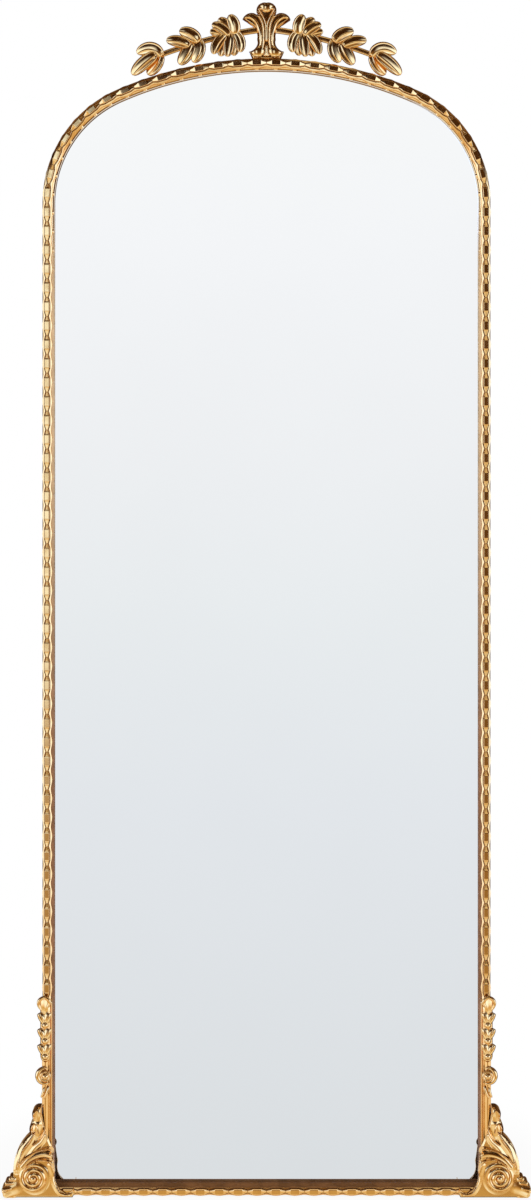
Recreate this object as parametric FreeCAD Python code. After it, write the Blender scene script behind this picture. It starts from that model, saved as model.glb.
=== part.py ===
"""Arched full-length wall mirror: beaded gilt frame, leaf crest, scroll feet and wall hangers.

Millimetres. X runs to the viewer's right, Y away from the viewer to the wall, Z up.
Heights in the source count from the underside of the bottom rail. The finished pieces are lowered
so that the origin lies on the wall, midway between the two hanging points.
"""
import FreeCAD, Part
import math
import os

Vector = FreeCAD.Vector

# Frame outline: a rectangle under a three-centred arch
HALF_WIDTH = 344.0
SPRING_HEIGHT = 1523.0
CROWN_RADIUS = 574.0
SHOULDER_RADIUS = 190.0

# Rail section
RAIL_WIDTH = 15.5
REBATE_WIDTH = 5.5
MOULDING_DEPTH = 18.0
LIP_WIDTH = 2.5
CHANNEL_DEPTH = 3.5

# Beads in the channel of the moulding
BEAD_PITCH = 29.2
BEAD_LENGTH = 17.0
BEAD_RADIUS = 5.2
BEAD_END_RADIUS = 3.4
BEAD_SINK = 1.0
BEAD_START_HEIGHT = 305.0
BOTTOM_BEAD_HALF_SPAN = 290.0

# Reeds on the plain lower stretch of a side rail: inset from the outer edge, and radius
REEDS = ((6.0, 3.4), (11.2, 1.6))
REED_SINK = 0.5
REED_BOTTOM = 80.0
REED_TOP = 166.0

# Layers behind the moulding
TAPE_THICKNESS = 1.0
GLASS_THICKNESS = 4.0
BOARD_THICKNESS = 9.0
BUMPER_THICKNESS = 6.0
GLASS_CLEARANCE = 1.0
BOARD_CLEARANCE = 0.5
TAPE_MARGIN = 1.0

# Fits
SEAT_GAP = 0.2
KEY_CLEARANCE = 0.2
PIN_CLEARANCE = 0.1
HOLE_END_GAP = 0.5

# Screws
SCREW_RADIUS = 1.6
SCREW_HEAD_RADIUS = 3.2
SCREW_HEAD_HEIGHT = 1.6
SCREW_RIM_HEIGHT = 0.6
SCREW_TOP_RADIUS = 1.8
SHORT_SCREW_LENGTH = 7.0
ORNAMENT_SCREW_BITE = 2.2

# Turn plates on the back
TURN_PLATE_LENGTH = 30.0
TURN_PLATE_WIDTH = 9.0
TURN_PLATE_THICKNESS = 1.5
TURN_PLATE_END = 4.0
TURN_PLATE_HEIGHTS = (400.0, 790.0, 1180.0)
TURN_PLATE_ARCH_ANGLES = (45.0, 90.0, 135.0)
TURN_PLATE_BOTTOM_OFFSET = 160.0

# Flat plates across the rail joints
JOINT_PLATE_THICKNESS = 1.5
JOINT_PLATE_WIDTH = 8.0
ARCH_PLATE_LENGTH = 50.0
ARCH_PLATE_SCREW_OFFSET = 17.0
CORNER_PLATE_ARM = 36.0
CORNER_PLATE_SCREW_REACH = 29.0

# Pins inside the frame
DOWEL_RADIUS = 2.5
DOWEL_LENGTH = 30.0
STUD_RADIUS = 2.0
STUD_LENGTH = 20.0
STUD_OFFSET = 9.0

# Hangers
HANG_DROP = 123.0
HANGER_INSET = 49.0
STRAP_WIDTH = 14.0
STRAP_LENGTH = 38.0
STRAP_THICKNESS = 1.2
STRAP_SCREW_FIRST = 16.0
STRAP_SCREW_SECOND = 30.0
RING_WIRE_RADIUS = 1.5
RING_HALF_WIDTH = 11.5
RING_CORNER_RADIUS = 3.0
RING_SIDE_LENGTH = 8.0
RING_BOARD_GAP = 0.3

# Rubber bumpers
BUMPER_RADIUS = 10.0
BUMPER_INSET = 49.0
BUMPER_LOW_HEIGHT = 60.0
BUMPER_HIGH_DROP = 43.0
BUMPER_COUNTERBORE_RADIUS = 4.2
BUMPER_FLOOR = 2.5

# Scroll feet; the step scales the points of their outline and ridges
FOOT_STEP = 1.0
FOOT_THICKNESS = 5.0
FOOT_WING_DEPTH = 16.0
FOOT_RIDGE_RADIUS = 2.2
FOOT_SCREW_HEIGHTS = (46.0, 62.0)
VOLUTE_OFFSET = 13.0
VOLUTE_HEIGHT = 28.0
VOLUTE_RADIUS = 18.0
VOLUTE_STEP = 1.8
VOLUTE_QUARTERS = 8
VOLUTE_RIDGE_RADIUS = 2.5
VOLUTE_EYE_RADIUS = 3.6

# Garlands and rosettes on the side rails
GARLAND_BOTTOM = 206.0
GARLAND_TOP = 304.0
HUSK_COUNT = 4
HUSK_RADIUS = 10.5
HUSK_LENGTH = 30.0
HUSK_SHOULDER_DROP = 7.5
HUSK_WAIST_RADIUS = 6.0
HUSK_WAIST_DROP = 18.5
HUSK_CAP_RADIUS = 4.0
HUSK_CAP_BULGE = 9.0
HUSK_CAP_DROP = 2.0
HUSK_SINK = 3.5
GARLAND_SCREW_MARGIN = 14.0
ROSETTE_HEIGHT = 186.0
ROSETTE_INSET = 5.6
ROSETTE_RADIUS = 8.4
ROSETTE_THICKNESS = 5.5
ROSETTE_DOME_RADIUS = 4.6
CURL_RADIUS = 16.0
CURL_THICKNESS = 3.0
CURL_LAP = 4.0

# Crest; the step scales the points of the palmette, stems and leaves
CREST_STEP = 1.0
CREST_SETBACK = 2.0
CREST_THICKNESS = 12.0
CREST_RIB_RADIUS = 1.8
CREST_HEIGHT = 84.8
CREST_BULB_RADIUS = 9.0
CREST_BULB_DROP = 12.0
CREST_BULB_SINK = 4.0
STEM_RADIUS = 4.4
LEAF_HUB_RADIUS = 6.4
LEAF_STATIONS = ((0.0, 0.5), (0.3, 0.95), (0.6, 1.0), (0.86, 0.7), (1.0, 0.25))
LEAF_FRONT_SWELL = 0.7
LEAF_BACK_SWELL = 0.45

# Planes along Y, from the wall forward
Y_RAIL_BACK = -BUMPER_THICKNESS
Y_BOARD_FRONT = Y_RAIL_BACK - BOARD_THICKNESS
Y_GLASS_FRONT = Y_BOARD_FRONT - GLASS_THICKNESS
Y_REBATE = Y_GLASS_FRONT - TAPE_THICKNESS
Y_FRONT = Y_REBATE - MOULDING_DEPTH
Y_FLOOR = Y_FRONT + CHANNEL_DEPTH
Y_ORNAMENT = Y_FRONT - SEAT_GAP
Y_CREST_FRONT = Y_FRONT + CREST_SETBACK
Y_CREST_BACK = Y_CREST_FRONT + CREST_THICKNESS
Y_CREST_MIDDLE = (Y_CREST_FRONT + Y_CREST_BACK) / 2

# Derived frame geometry
LEG_WIDTH = RAIL_WIDTH - REBATE_WIDTH
SHOULDER_X = HALF_WIDTH - SHOULDER_RADIUS
CENTRE_DISTANCE = CROWN_RADIUS - SHOULDER_RADIUS
CROWN_HALF_ANGLE = math.asin(SHOULDER_X / CENTRE_DISTANCE)
CROWN_CENTRE_Z = SPRING_HEIGHT - CENTRE_DISTANCE * math.cos(CROWN_HALF_ANGLE)
CROWN_TOP = CROWN_CENTRE_Z + CROWN_RADIUS
LEG_CENTRE_X = HALF_WIDTH - LEG_WIDTH / 2
HANG_HEIGHT = SPRING_HEIGHT - HANG_DROP
HANGER_OFFSET = HALF_WIDTH - HANGER_INSET
BUMPER_OFFSET = HALF_WIDTH - BUMPER_INSET
BUMPER_HEIGHTS = (BUMPER_LOW_HEIGHT, SPRING_HEIGHT - BUMPER_HIGH_DROP)
WALL_AXIS = Vector(0, 1, 0)
UP = Vector(0, 0, 1)


def at(x, z, y=0.0):
    return Vector(x, y, z)


def trace(start, steps):
    """Join line and arc steps into a wire: one point is a line, two points are an arc through the first."""
    edges = []
    here = start
    for step in steps:
        end = step[-1]
        if len(step) == 1:
            edges.append(Part.LineSegment(here, end).toShape())
        else:
            edges.append(Part.Arc(here, step[0], end).toShape())
        here = end
    return Part.Wire(edges)


def prism(wire, y_front, y_back):
    """Extrude a closed wire that lies in the plane y = 0 between two depths."""
    face = Part.Face(wire)
    face.translate(Vector(0, y_front, 0))
    return face.extrude(Vector(0, y_back - y_front, 0))


def block(x0, x1, z0, z1, y_front, y_back):
    return Part.makeBox(x1 - x0, y_back - y_front, z1 - z0, Vector(x0, y_front, z0))


def rod_y(x, z, y_front, y_back, radius):
    return Part.makeCylinder(radius, y_back - y_front, Vector(x, y_front, z), WALL_AXIS)


def tube(path_start, path_steps, radius):
    """Round bar along a path of tangent lines and arcs that lies in one plane of constant y."""
    path = trace(path_start, path_steps)
    first = path.OrderedEdges[0]
    tangent = first.tangentAt(first.FirstParameter)
    section = Part.Wire(Part.makeCircle(radius, first.valueAt(first.FirstParameter), tangent))
    return path.makePipeShell([section], True, False)


def mirrored(shape):
    return shape.mirror(Vector(0, 0, 0), Vector(1, 0, 0))


# Frame

def arch_outline(inset):
    """Closed outline of the frame, moved in from the outer edge by one distance all round."""
    half = HALF_WIDTH - inset
    shoulder = SHOULDER_RADIUS - inset
    crown = CROWN_RADIUS - inset
    middle = (math.pi / 2 - CROWN_HALF_ANGLE) / 2
    joint_x = crown * math.sin(CROWN_HALF_ANGLE)
    joint_z = CROWN_CENTRE_Z + crown * math.cos(CROWN_HALF_ANGLE)
    bulge_x = SHOULDER_X + shoulder * math.cos(middle)
    bulge_z = SPRING_HEIGHT + shoulder * math.sin(middle)
    return trace(at(half, inset), [
        (at(half, SPRING_HEIGHT),),
        (at(bulge_x, bulge_z), at(joint_x, joint_z)),
        (at(0, CROWN_CENTRE_Z + crown), at(-joint_x, joint_z)),
        (at(-bulge_x, bulge_z), at(-half, SPRING_HEIGHT)),
        (at(-half, inset),),
        (at(half, inset),)])


def rail_section(edge):
    """Section of the rail in the plane z = 0: outer edge at x = edge, sight edge towards the axis."""
    def place(inset, y):
        return Vector(edge - inset, y, 0)

    lip_round = LIP_WIDTH / 2
    wire = trace(place(0, Y_RAIL_BACK), [
        (place(0, Y_FRONT + lip_round),),
        (place(lip_round, Y_FRONT), place(LIP_WIDTH, Y_FRONT + lip_round)),
        (place(LIP_WIDTH, Y_FLOOR),),
        (place(RAIL_WIDTH - LIP_WIDTH, Y_FLOOR),),
        (place(RAIL_WIDTH - LIP_WIDTH, Y_FRONT + lip_round),),
        (place(RAIL_WIDTH - lip_round, Y_FRONT), place(RAIL_WIDTH, Y_FRONT + lip_round)),
        (place(RAIL_WIDTH, Y_REBATE),),
        (place(LEG_WIDTH, Y_REBATE),),
        (place(LEG_WIDTH, Y_RAIL_BACK),),
        (place(0, Y_RAIL_BACK),)])
    return Part.Face(wire)


def bead(x, z, lean):
    """Barrel bead sunk in the channel floor; lean turns it from upright along the rail, in radians."""
    half = BEAD_LENGTH / 2
    profile = trace(Vector(0, 0, -half), [
        (Vector(0, BEAD_END_RADIUS, -half),),
        (Vector(0, BEAD_RADIUS, 0), Vector(0, BEAD_END_RADIUS, half)),
        (Vector(0, 0, half),),
        (Vector(0, 0, -half),)])
    barrel = Part.Face(profile).revolve(Vector(0, 0, 0), UP, 360)
    barrel.rotate(Vector(0, 0, 0), WALL_AXIS, -math.degrees(lean))
    barrel.translate(Vector(x, Y_FLOOR + BEAD_SINK, z))
    return barrel


def arch_station(angle, inset):
    """Point of the arch at a turn from the right-hand spring line, in radians, at one inset."""
    if angle < math.pi / 2 - CROWN_HALF_ANGLE:
        radius, centre_x, centre_z = SHOULDER_RADIUS, SHOULDER_X, SPRING_HEIGHT
    elif angle <= math.pi / 2 + CROWN_HALF_ANGLE:
        radius, centre_x, centre_z = CROWN_RADIUS, 0.0, CROWN_CENTRE_Z
    else:
        radius, centre_x, centre_z = SHOULDER_RADIUS, -SHOULDER_X, SPRING_HEIGHT
    reach = radius - inset
    return centre_x + reach * math.cos(angle), centre_z + reach * math.sin(angle)


def arch_turns():
    """Turns of evenly spaced beads, measured along the middle of the arch rail."""
    side_turn = math.pi / 2 - CROWN_HALF_ANGLE
    shoulder = SHOULDER_RADIUS - RAIL_WIDTH / 2
    crown = CROWN_RADIUS - RAIL_WIDTH / 2
    side_length = shoulder * side_turn
    crown_length = crown * 2 * CROWN_HALF_ANGLE
    total = 2 * side_length + crown_length
    count = round(total / BEAD_PITCH)
    turns = []
    for index in range(count):
        run = (index + 0.5) * total / count
        if run < side_length:
            turns.append(run / shoulder)
        elif run < side_length + crown_length:
            turns.append(side_turn + (run - side_length) / crown)
        else:
            turns.append(math.pi - (total - run) / shoulder)
    return turns


def arch_rail():
    side_turn = math.degrees(math.pi / 2 - CROWN_HALF_ANGLE)
    turn_axis = Vector(0, -1, 0)
    shoulder_centre = at(SHOULDER_X, SPRING_HEIGHT)
    crown_centre = at(0, CROWN_CENTRE_Z)
    shoulder_face = rail_section(SHOULDER_RADIUS)
    shoulder_face.translate(shoulder_centre)
    shoulder = shoulder_face.revolve(shoulder_centre, turn_axis, side_turn)
    crown_face = rail_section(CROWN_RADIUS)
    crown_face.translate(crown_centre)
    crown_face.rotate(crown_centre, turn_axis, side_turn)
    crown = crown_face.revolve(crown_centre, turn_axis, 2 * math.degrees(CROWN_HALF_ANGLE))
    beads = []
    for turn in arch_turns():
        x, z = arch_station(turn, RAIL_WIDTH / 2)
        beads.append(bead(x, z, turn))
    return crown.multiFuse([shoulder, mirrored(shoulder)] + beads)


def mitre_wedge(corner_side):
    """Waste beyond the mitre line of the right-hand lower corner: +1 below the line, -1 above it."""
    reach = 2 * RAIL_WIDTH
    corner = at(HALF_WIDTH, 0)
    inner = at(HALF_WIDTH - reach, reach)
    if corner_side > 0:
        other = at(HALF_WIDTH - reach, -reach)
        outer = at(HALF_WIDTH + reach, -reach)
    else:
        other = at(HALF_WIDTH + reach, reach)
        outer = at(HALF_WIDTH + reach, -reach)
    wire = trace(corner, [(inner,), (other,), (outer,), (corner,)])
    return prism(wire, Y_FRONT - BEAD_RADIUS, 0)


def side_rail():
    """Right-hand upright: beads above the garland, reeds on the plain stretch over the foot."""
    rail = rail_section(HALF_WIDTH).extrude(Vector(0, 0, SPRING_HEIGHT))
    middle = HALF_WIDTH - RAIL_WIDTH / 2
    length = SPRING_HEIGHT - BEAD_START_HEIGHT
    count = round(length / BEAD_PITCH)
    added = []
    for index in range(count):
        added.append(bead(middle, BEAD_START_HEIGHT + (index + 0.5) * length / count, 0))
    for inset, radius in REEDS:
        reed_base = Vector(HALF_WIDTH - inset, Y_FLOOR + REED_SINK, REED_BOTTOM)
        added.append(Part.makeCylinder(radius, REED_TOP - REED_BOTTOM, reed_base, UP))
    return rail.cut(mitre_wedge(1)).multiFuse(added)


def bottom_rail():
    section = rail_section(0)
    section.rotate(Vector(0, 0, 0), WALL_AXIS, 90)
    section.translate(Vector(-HALF_WIDTH, 0, 0))
    rail = section.extrude(Vector(2 * HALF_WIDTH, 0, 0))
    wedge = mitre_wedge(-1)
    rail = rail.cut(wedge).cut(mirrored(wedge))
    count = round(2 * BOTTOM_BEAD_HALF_SPAN / BEAD_PITCH)
    pitch = 2 * BOTTOM_BEAD_HALF_SPAN / count
    beads = []
    for index in range(count):
        x = -BOTTOM_BEAD_HALF_SPAN + (index + 0.5) * pitch
        beads.append(bead(x, RAIL_WIDTH / 2, math.pi / 2))
    return rail.multiFuse(beads)


# Mirror plate and back

def mirror_glass():
    return prism(arch_outline(LEG_WIDTH + GLASS_CLEARANCE), Y_GLASS_FRONT, Y_BOARD_FRONT)


def rebate_tape():
    outer = prism(arch_outline(LEG_WIDTH + GLASS_CLEARANCE), Y_REBATE, Y_GLASS_FRONT)
    return outer.cut(prism(arch_outline(RAIL_WIDTH - TAPE_MARGIN), Y_REBATE, Y_GLASS_FRONT))


def backboard():
    return prism(arch_outline(LEG_WIDTH + BOARD_CLEARANCE), Y_BOARD_FRONT, Y_RAIL_BACK)


# Fasteners that enter from the wall side

def back_screw(x, z, seat, length):
    """Round-headed screw driven from the wall side, its head seated at y = seat."""
    profile = trace(Vector(0, -length, 0), [
        (Vector(SCREW_RADIUS, -length, 0),),
        (Vector(SCREW_RADIUS, 0, 0),),
        (Vector(SCREW_HEAD_RADIUS, 0, 0),),
        (Vector(SCREW_HEAD_RADIUS, SCREW_RIM_HEIGHT, 0),),
        (Vector(SCREW_TOP_RADIUS, SCREW_HEAD_HEIGHT, 0),),
        (Vector(0, SCREW_HEAD_HEIGHT, 0),),
        (Vector(0, -length, 0),)])
    screw = Part.Face(profile).revolve(Vector(0, 0, 0), WALL_AXIS, 360)
    screw.translate(Vector(x, seat, z))
    return screw


def screw_hole(x, z, seat, length):
    return rod_y(x, z, seat - length - HOLE_END_GAP, seat, SCREW_RADIUS + PIN_CLEARANCE)


def turn_plate_places():
    """Screw centre of each turn plate with the turn, in degrees, from the plate's inward lie along -X."""
    places = []
    for height in TURN_PLATE_HEIGHTS:
        places.append((LEG_CENTRE_X, height, 0.0))
        places.append((-LEG_CENTRE_X, height, 180.0))
    for angle in TURN_PLATE_ARCH_ANGLES:
        x, z = arch_station(math.radians(angle), LEG_WIDTH / 2)
        places.append((x, z, angle))
    for side in (1, -1):
        places.append((side * TURN_PLATE_BOTTOM_OFFSET, LEG_WIDTH / 2, 270.0))
    return places


def turn_plate(x, z, turn):
    half = TURN_PLATE_WIDTH / 2
    reach = TURN_PLATE_LENGTH - TURN_PLATE_END
    plate = block(-reach, TURN_PLATE_END, -half, half, Y_RAIL_BACK, Y_RAIL_BACK + TURN_PLATE_THICKNESS)
    plate.rotate(Vector(0, 0, 0), Vector(0, -1, 0), turn)
    plate.translate(at(x, z))
    return plate


def arch_joint_plate():
    half = JOINT_PLATE_WIDTH / 2
    low = SPRING_HEIGHT - ARCH_PLATE_LENGTH / 2
    return block(LEG_CENTRE_X - half, LEG_CENTRE_X + half, low, low + ARCH_PLATE_LENGTH,
                 Y_RAIL_BACK, Y_RAIL_BACK + JOINT_PLATE_THICKNESS)


def corner_plate():
    margin = (LEG_WIDTH - JOINT_PLATE_WIDTH) / 2
    outer = HALF_WIDTH - margin
    inner = outer - JOINT_PLATE_WIDTH
    arm_x = HALF_WIDTH - CORNER_PLATE_ARM
    top = margin + JOINT_PLATE_WIDTH
    wire = trace(at(outer, margin), [
        (at(outer, CORNER_PLATE_ARM),),
        (at(inner, CORNER_PLATE_ARM),),
        (at(inner, top),),
        (at(arm_x, top),),
        (at(arm_x, margin),),
        (at(outer, margin),)])
    return prism(wire, Y_RAIL_BACK, Y_RAIL_BACK + JOINT_PLATE_THICKNESS)


def joint_screw_places():
    """Screw centres of the right-hand joint plates."""
    return [(LEG_CENTRE_X, SPRING_HEIGHT + ARCH_PLATE_SCREW_OFFSET),
            (LEG_CENTRE_X, SPRING_HEIGHT - ARCH_PLATE_SCREW_OFFSET),
            (LEG_CENTRE_X, CORNER_PLATE_SCREW_REACH),
            (HALF_WIDTH - CORNER_PLATE_SCREW_REACH, LEG_WIDTH / 2)]


def ornament_screw_places():
    """Right-hand screws through the upright: centre and the length that bites into the ornament's key."""
    heights = list(FOOT_SCREW_HEIGHTS)
    heights += [GARLAND_BOTTOM + GARLAND_SCREW_MARGIN, GARLAND_TOP - GARLAND_SCREW_MARGIN, ROSETTE_HEIGHT]
    length = Y_RAIL_BACK - Y_FLOOR + ORNAMENT_SCREW_BITE
    return [(LEG_CENTRE_X, height, length) for height in heights]


def dowel(gap):
    """Pin across the joint of arch and right-hand upright, or its hole when a gap is given."""
    y = (Y_REBATE + Y_RAIL_BACK) / 2
    length = DOWEL_LENGTH + 2 * gap
    base = Vector(LEG_CENTRE_X, y, SPRING_HEIGHT - length / 2)
    return Part.makeCylinder(DOWEL_RADIUS + gap, length, base, UP)


def crest_stud(gap):
    length = STUD_LENGTH + 2 * gap
    return Part.makeCylinder(STUD_RADIUS + gap, length,
                             Vector(STUD_OFFSET, Y_CREST_MIDDLE, CROWN_TOP - length / 2), UP)


# Hangers and bumpers

def eye_radius():
    return RING_WIRE_RADIUS + PIN_CLEARANCE + STRAP_THICKNESS


def ring_axis_y():
    return Y_RAIL_BACK + eye_radius()


def ring_top():
    return RING_CORNER_RADIUS + RING_SIDE_LENGTH + RING_HALF_WIDTH


def ring_lean():
    """Turn, in degrees, that lays the raised ring against the board."""
    return math.degrees(math.asin((eye_radius() - RING_WIRE_RADIUS - RING_BOARD_GAP) / ring_top()))


def ring_axis_z():
    return HANG_HEIGHT - (ring_top() - RING_WIRE_RADIUS) * math.cos(math.radians(ring_lean()))


def hanger_strap():
    """Right-hand strap: a strip folded into an eye round the straight bar of the ring."""
    half = STRAP_WIDTH / 2
    axis_y = ring_axis_y()
    axis_z = ring_axis_z()
    base = Vector(HANGER_OFFSET - half, axis_y, axis_z)
    eye = Part.makeCylinder(eye_radius(), STRAP_WIDTH, base, Vector(1, 0, 0))
    strip = block(HANGER_OFFSET - half, HANGER_OFFSET + half, axis_z - STRAP_LENGTH, axis_z,
                  Y_RAIL_BACK, Y_RAIL_BACK + STRAP_THICKNESS)
    bore = Part.makeCylinder(RING_WIRE_RADIUS + PIN_CLEARANCE, STRAP_WIDTH, base, Vector(1, 0, 0))
    return eye.fuse(strip).cut(bore)


def hanger_ring():
    """Right-hand D ring, raised and laid against the board."""
    half = RING_HALF_WIDTH
    corner = RING_CORNER_RADIUS
    shoulder = corner + RING_SIDE_LENGTH
    turn = corner * (1 - math.cos(math.pi / 4))
    start = at(0, 0)
    steps = [(at(half - corner, 0),),
             (at(half - turn, turn), at(half, corner)),
             (at(half, shoulder),),
             (at(0, shoulder + half), at(-half, shoulder)),
             (at(-half, corner),),
             (at(turn - half, turn), at(corner - half, 0)),
             (at(0, 0),)]
    ring = tube(start, steps, RING_WIRE_RADIUS)
    ring.rotate(Vector(0, 0, 0), Vector(1, 0, 0), ring_lean())
    ring.translate(Vector(HANGER_OFFSET, ring_axis_y(), ring_axis_z()))
    return ring


def strap_screw_places():
    return [(HANGER_OFFSET, ring_axis_z() - STRAP_SCREW_FIRST),
            (HANGER_OFFSET, ring_axis_z() - STRAP_SCREW_SECOND)]


def bumper_places():
    return [(side * BUMPER_OFFSET, height) for height in BUMPER_HEIGHTS for side in (1, -1)]


def bumper(x, z):
    seat = Y_RAIL_BACK + BUMPER_FLOOR
    pad = rod_y(x, z, Y_RAIL_BACK, 0, BUMPER_RADIUS)
    well = rod_y(x, z, seat, 0, BUMPER_COUNTERBORE_RADIUS)
    return pad.cut(well).cut(rod_y(x, z, Y_RAIL_BACK, seat, SCREW_RADIUS + PIN_CLEARANCE))


# Ornaments of the lower frame, right-hand side

def channel_key(z0, z1):
    """Tongue that sits in the channel of the upright and carries an ornament."""
    inner = HALF_WIDTH - RAIL_WIDTH + LIP_WIDTH + KEY_CLEARANCE
    outer = HALF_WIDTH - LIP_WIDTH - KEY_CLEARANCE
    return block(inner, outer, z0, z1, Y_ORNAMENT, Y_FLOOR)


def foot_point(reach, height):
    """Point of the foot, measured outward from the upright's outer edge and up from the base."""
    return at(HALF_WIDTH + reach * FOOT_STEP, height * FOOT_STEP)


def foot_outline():
    p = foot_point
    return trace(p(-47, 0), [
        (p(-50, 9), p(-48.5, 16)),
        (p(-44, 9), p(-36.5, 7.5)),
        (p(-25, 17), p(-20.5, 41)),
        (p(-18.5, 67),),
        (p(-22.5, 72.5), p(-17, 78)),
        (p(-10, 91), p(-5.5, 104)),
        (p(-1.5, 122), p(1, 142)),
        (p(12, 138.5), p(14.5, 127)),
        (p(14, 122.5), p(12.8, 119.5)),
        (p(17.8, 111), p(18, 97)),
        (p(35.5, 75), p(43, 45)),
        (p(43.5, 32),),
        (p(49, 31.5), p(49.5, 26)),
        (p(55, 25.5), p(55.5, 19.5)),
        (p(60.8, 14.5), p(59.3, 7)),
        (p(58, 2), p(54, 0)),
        (p(-47, 0),)])


def volute():
    """Scroll of quarter circles whose radius falls by one step at each quarter."""
    edges_start = foot_point(VOLUTE_OFFSET, VOLUTE_HEIGHT - VOLUTE_RADIUS)
    centre = foot_point(VOLUTE_OFFSET, VOLUTE_HEIGHT)
    here = edges_start
    radius = VOLUTE_RADIUS
    heading = -math.pi / 2
    steps = []
    for quarter in range(VOLUTE_QUARTERS):
        middle = heading + math.pi / 4
        heading += math.pi / 2
        via = centre + at(radius * math.cos(middle), radius * math.sin(middle))
        end = centre + at(radius * math.cos(heading), radius * math.sin(heading))
        steps.append((via, end))
        centre = centre + at(VOLUTE_STEP * math.cos(heading), VOLUTE_STEP * math.sin(heading))
        radius -= VOLUTE_STEP
    ridge = tube(edges_start, steps, VOLUTE_RIDGE_RADIUS)
    ridge.translate(Vector(0, Y_ORNAMENT - FOOT_THICKNESS, 0))
    return ridge, centre


def foot_ridge(start, steps):
    ridge = tube(start, steps, FOOT_RIDGE_RADIUS)
    ridge.translate(Vector(0, Y_ORNAMENT - FOOT_THICKNESS, 0))
    return ridge


def corner_scroll():
    p = foot_point
    front = Y_ORNAMENT - FOOT_THICKNESS
    plate = prism(foot_outline(), front, Y_ORNAMENT)
    deep = prism(foot_outline(), front, Y_FRONT + FOOT_WING_DEPTH)
    wing = deep.cut(block(0, HALF_WIDTH + SEAT_GAP, 0, SPRING_HEIGHT, front, Y_RAIL_BACK))
    key = channel_key(FOOT_SCREW_HEIGHTS[0] - SCREW_HEAD_RADIUS, FOOT_SCREW_HEIGHTS[1] + SCREW_HEAD_RADIUS)
    ridge, eye_centre = volute()
    eye = Part.makeSphere(VOLUTE_EYE_RADIUS, Vector(eye_centre.x, front, eye_centre.z))
    ridges = [
        foot_ridge(p(10, 100), [(p(25, 79), p(34, 57))]),
        foot_ridge(p(-4, 102), [(p(2, 91), p(12, 82))]),
        foot_ridge(p(31, 54), [(p(9, 71), p(-16, 74))]),
        foot_ridge(p(26.5, 43.5), [(p(2, 57.5), p(-17, 45))])]
    return plate.multiFuse([wing, key, ridge, eye] + ridges)


def husk(x, top):
    """Bell of a garland: rounded cap above, tapering to the next bell, cut flat at the back."""
    profile = trace(at(0, -HUSK_LENGTH), [
        (at(HUSK_WAIST_RADIUS, -HUSK_WAIST_DROP), at(HUSK_RADIUS, -HUSK_SHOULDER_DROP)),
        (at(HUSK_CAP_BULGE, -HUSK_CAP_DROP), at(HUSK_CAP_RADIUS, 0)),
        (at(0, 0),),
        (at(0, -HUSK_LENGTH),)])
    bell = Part.Face(profile).revolve(Vector(0, 0, 0), UP, 360)
    bell.translate(Vector(x, Y_ORNAMENT + HUSK_SINK, top))
    return bell


def garland():
    spacing = (GARLAND_TOP - GARLAND_BOTTOM - HUSK_LENGTH) / (HUSK_COUNT - 1)
    middle = HALF_WIDTH - RAIL_WIDTH / 2 + LIP_WIDTH
    bells = [husk(middle, GARLAND_TOP - index * spacing) for index in range(HUSK_COUNT)]
    front = block(HALF_WIDTH - RAIL_WIDTH, HALF_WIDTH + HUSK_RADIUS, GARLAND_BOTTOM, GARLAND_TOP,
                  Y_ORNAMENT - HUSK_RADIUS, Y_ORNAMENT)
    relief = bells[0].multiFuse(bells[1:]).common(front)
    return relief.fuse(channel_key(GARLAND_BOTTOM, GARLAND_TOP))


def rosette():
    x = HALF_WIDTH - ROSETTE_INSET
    z = ROSETTE_HEIGHT
    front = Y_ORNAMENT - ROSETTE_THICKNESS
    button = rod_y(x, z, front, Y_ORNAMENT, ROSETTE_RADIUS)
    dome = Part.makeSphere(ROSETTE_DOME_RADIUS, Vector(x, front, z))
    curl = rod_y(x, z, Y_ORNAMENT - CURL_THICKNESS, Y_ORNAMENT, CURL_RADIUS)
    waste = block(x - 2 * CURL_RADIUS, x - CURL_LAP, z - 2 * CURL_RADIUS, z + 2 * CURL_RADIUS,
                  Y_ORNAMENT - CURL_THICKNESS, Y_ORNAMENT)
    key = channel_key(z - ROSETTE_RADIUS, z + ROSETTE_RADIUS)
    return button.multiFuse([dome, curl.cut(waste), key])


# Crest, right-hand half and middle

def crest_point(x, height):
    """Point of the crest, measured from the middle and up from the crown of the arch."""
    return at(x * CREST_STEP, CROWN_TOP + height * CREST_STEP)


def half_palmette_steps():
    p = crest_point
    return [(p(21.5, -3),),
            (p(27, 10),),
            (p(17, 15), p(14.3, 29)),
            (p(17, 44), p(25, 51)),
            (p(37, 59),),
            (p(31, 67), p(19, 69)),
            (p(13, 66),),
            (p(14.5, 78), p(0, CREST_HEIGHT))]


def palmette():
    p = crest_point
    middle = p(0, -3)
    half = prism(trace(middle, half_palmette_steps() + [(middle,)]), Y_CREST_FRONT, Y_CREST_BACK)
    ribs = []
    outer_rib = (p(30, 61), p(14.5, 46), p(10.5, 26), p(13, 6))
    inner_rib = (p(11, 67), p(6.5, 50), p(4.2, 28), p(6, 5))
    for start, via, low, foot in (outer_rib, inner_rib):
        ribs.append(tube(start, [(via, low)], CREST_RIB_RADIUS))
        ribs.append(tube(low, [(foot,)], CREST_RIB_RADIUS))
    for rib in ribs:
        rib.translate(Vector(0, Y_CREST_FRONT, 0))
    right = half.multiFuse(ribs)
    whole = right.fuse(mirrored(right))
    bulb_centre = p(0, CREST_HEIGHT - CREST_BULB_DROP) + Vector(0, Y_CREST_FRONT + CREST_BULB_SINK, 0)
    whole = whole.fuse(Part.makeSphere(CREST_BULB_RADIUS, bulb_centre))
    seat = rod_y(0, CROWN_CENTRE_Z, Y_CREST_FRONT - STEM_RADIUS, Y_CREST_BACK, CROWN_RADIUS + SEAT_GAP)
    return whole.cut(seat).removeSplitter()


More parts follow.
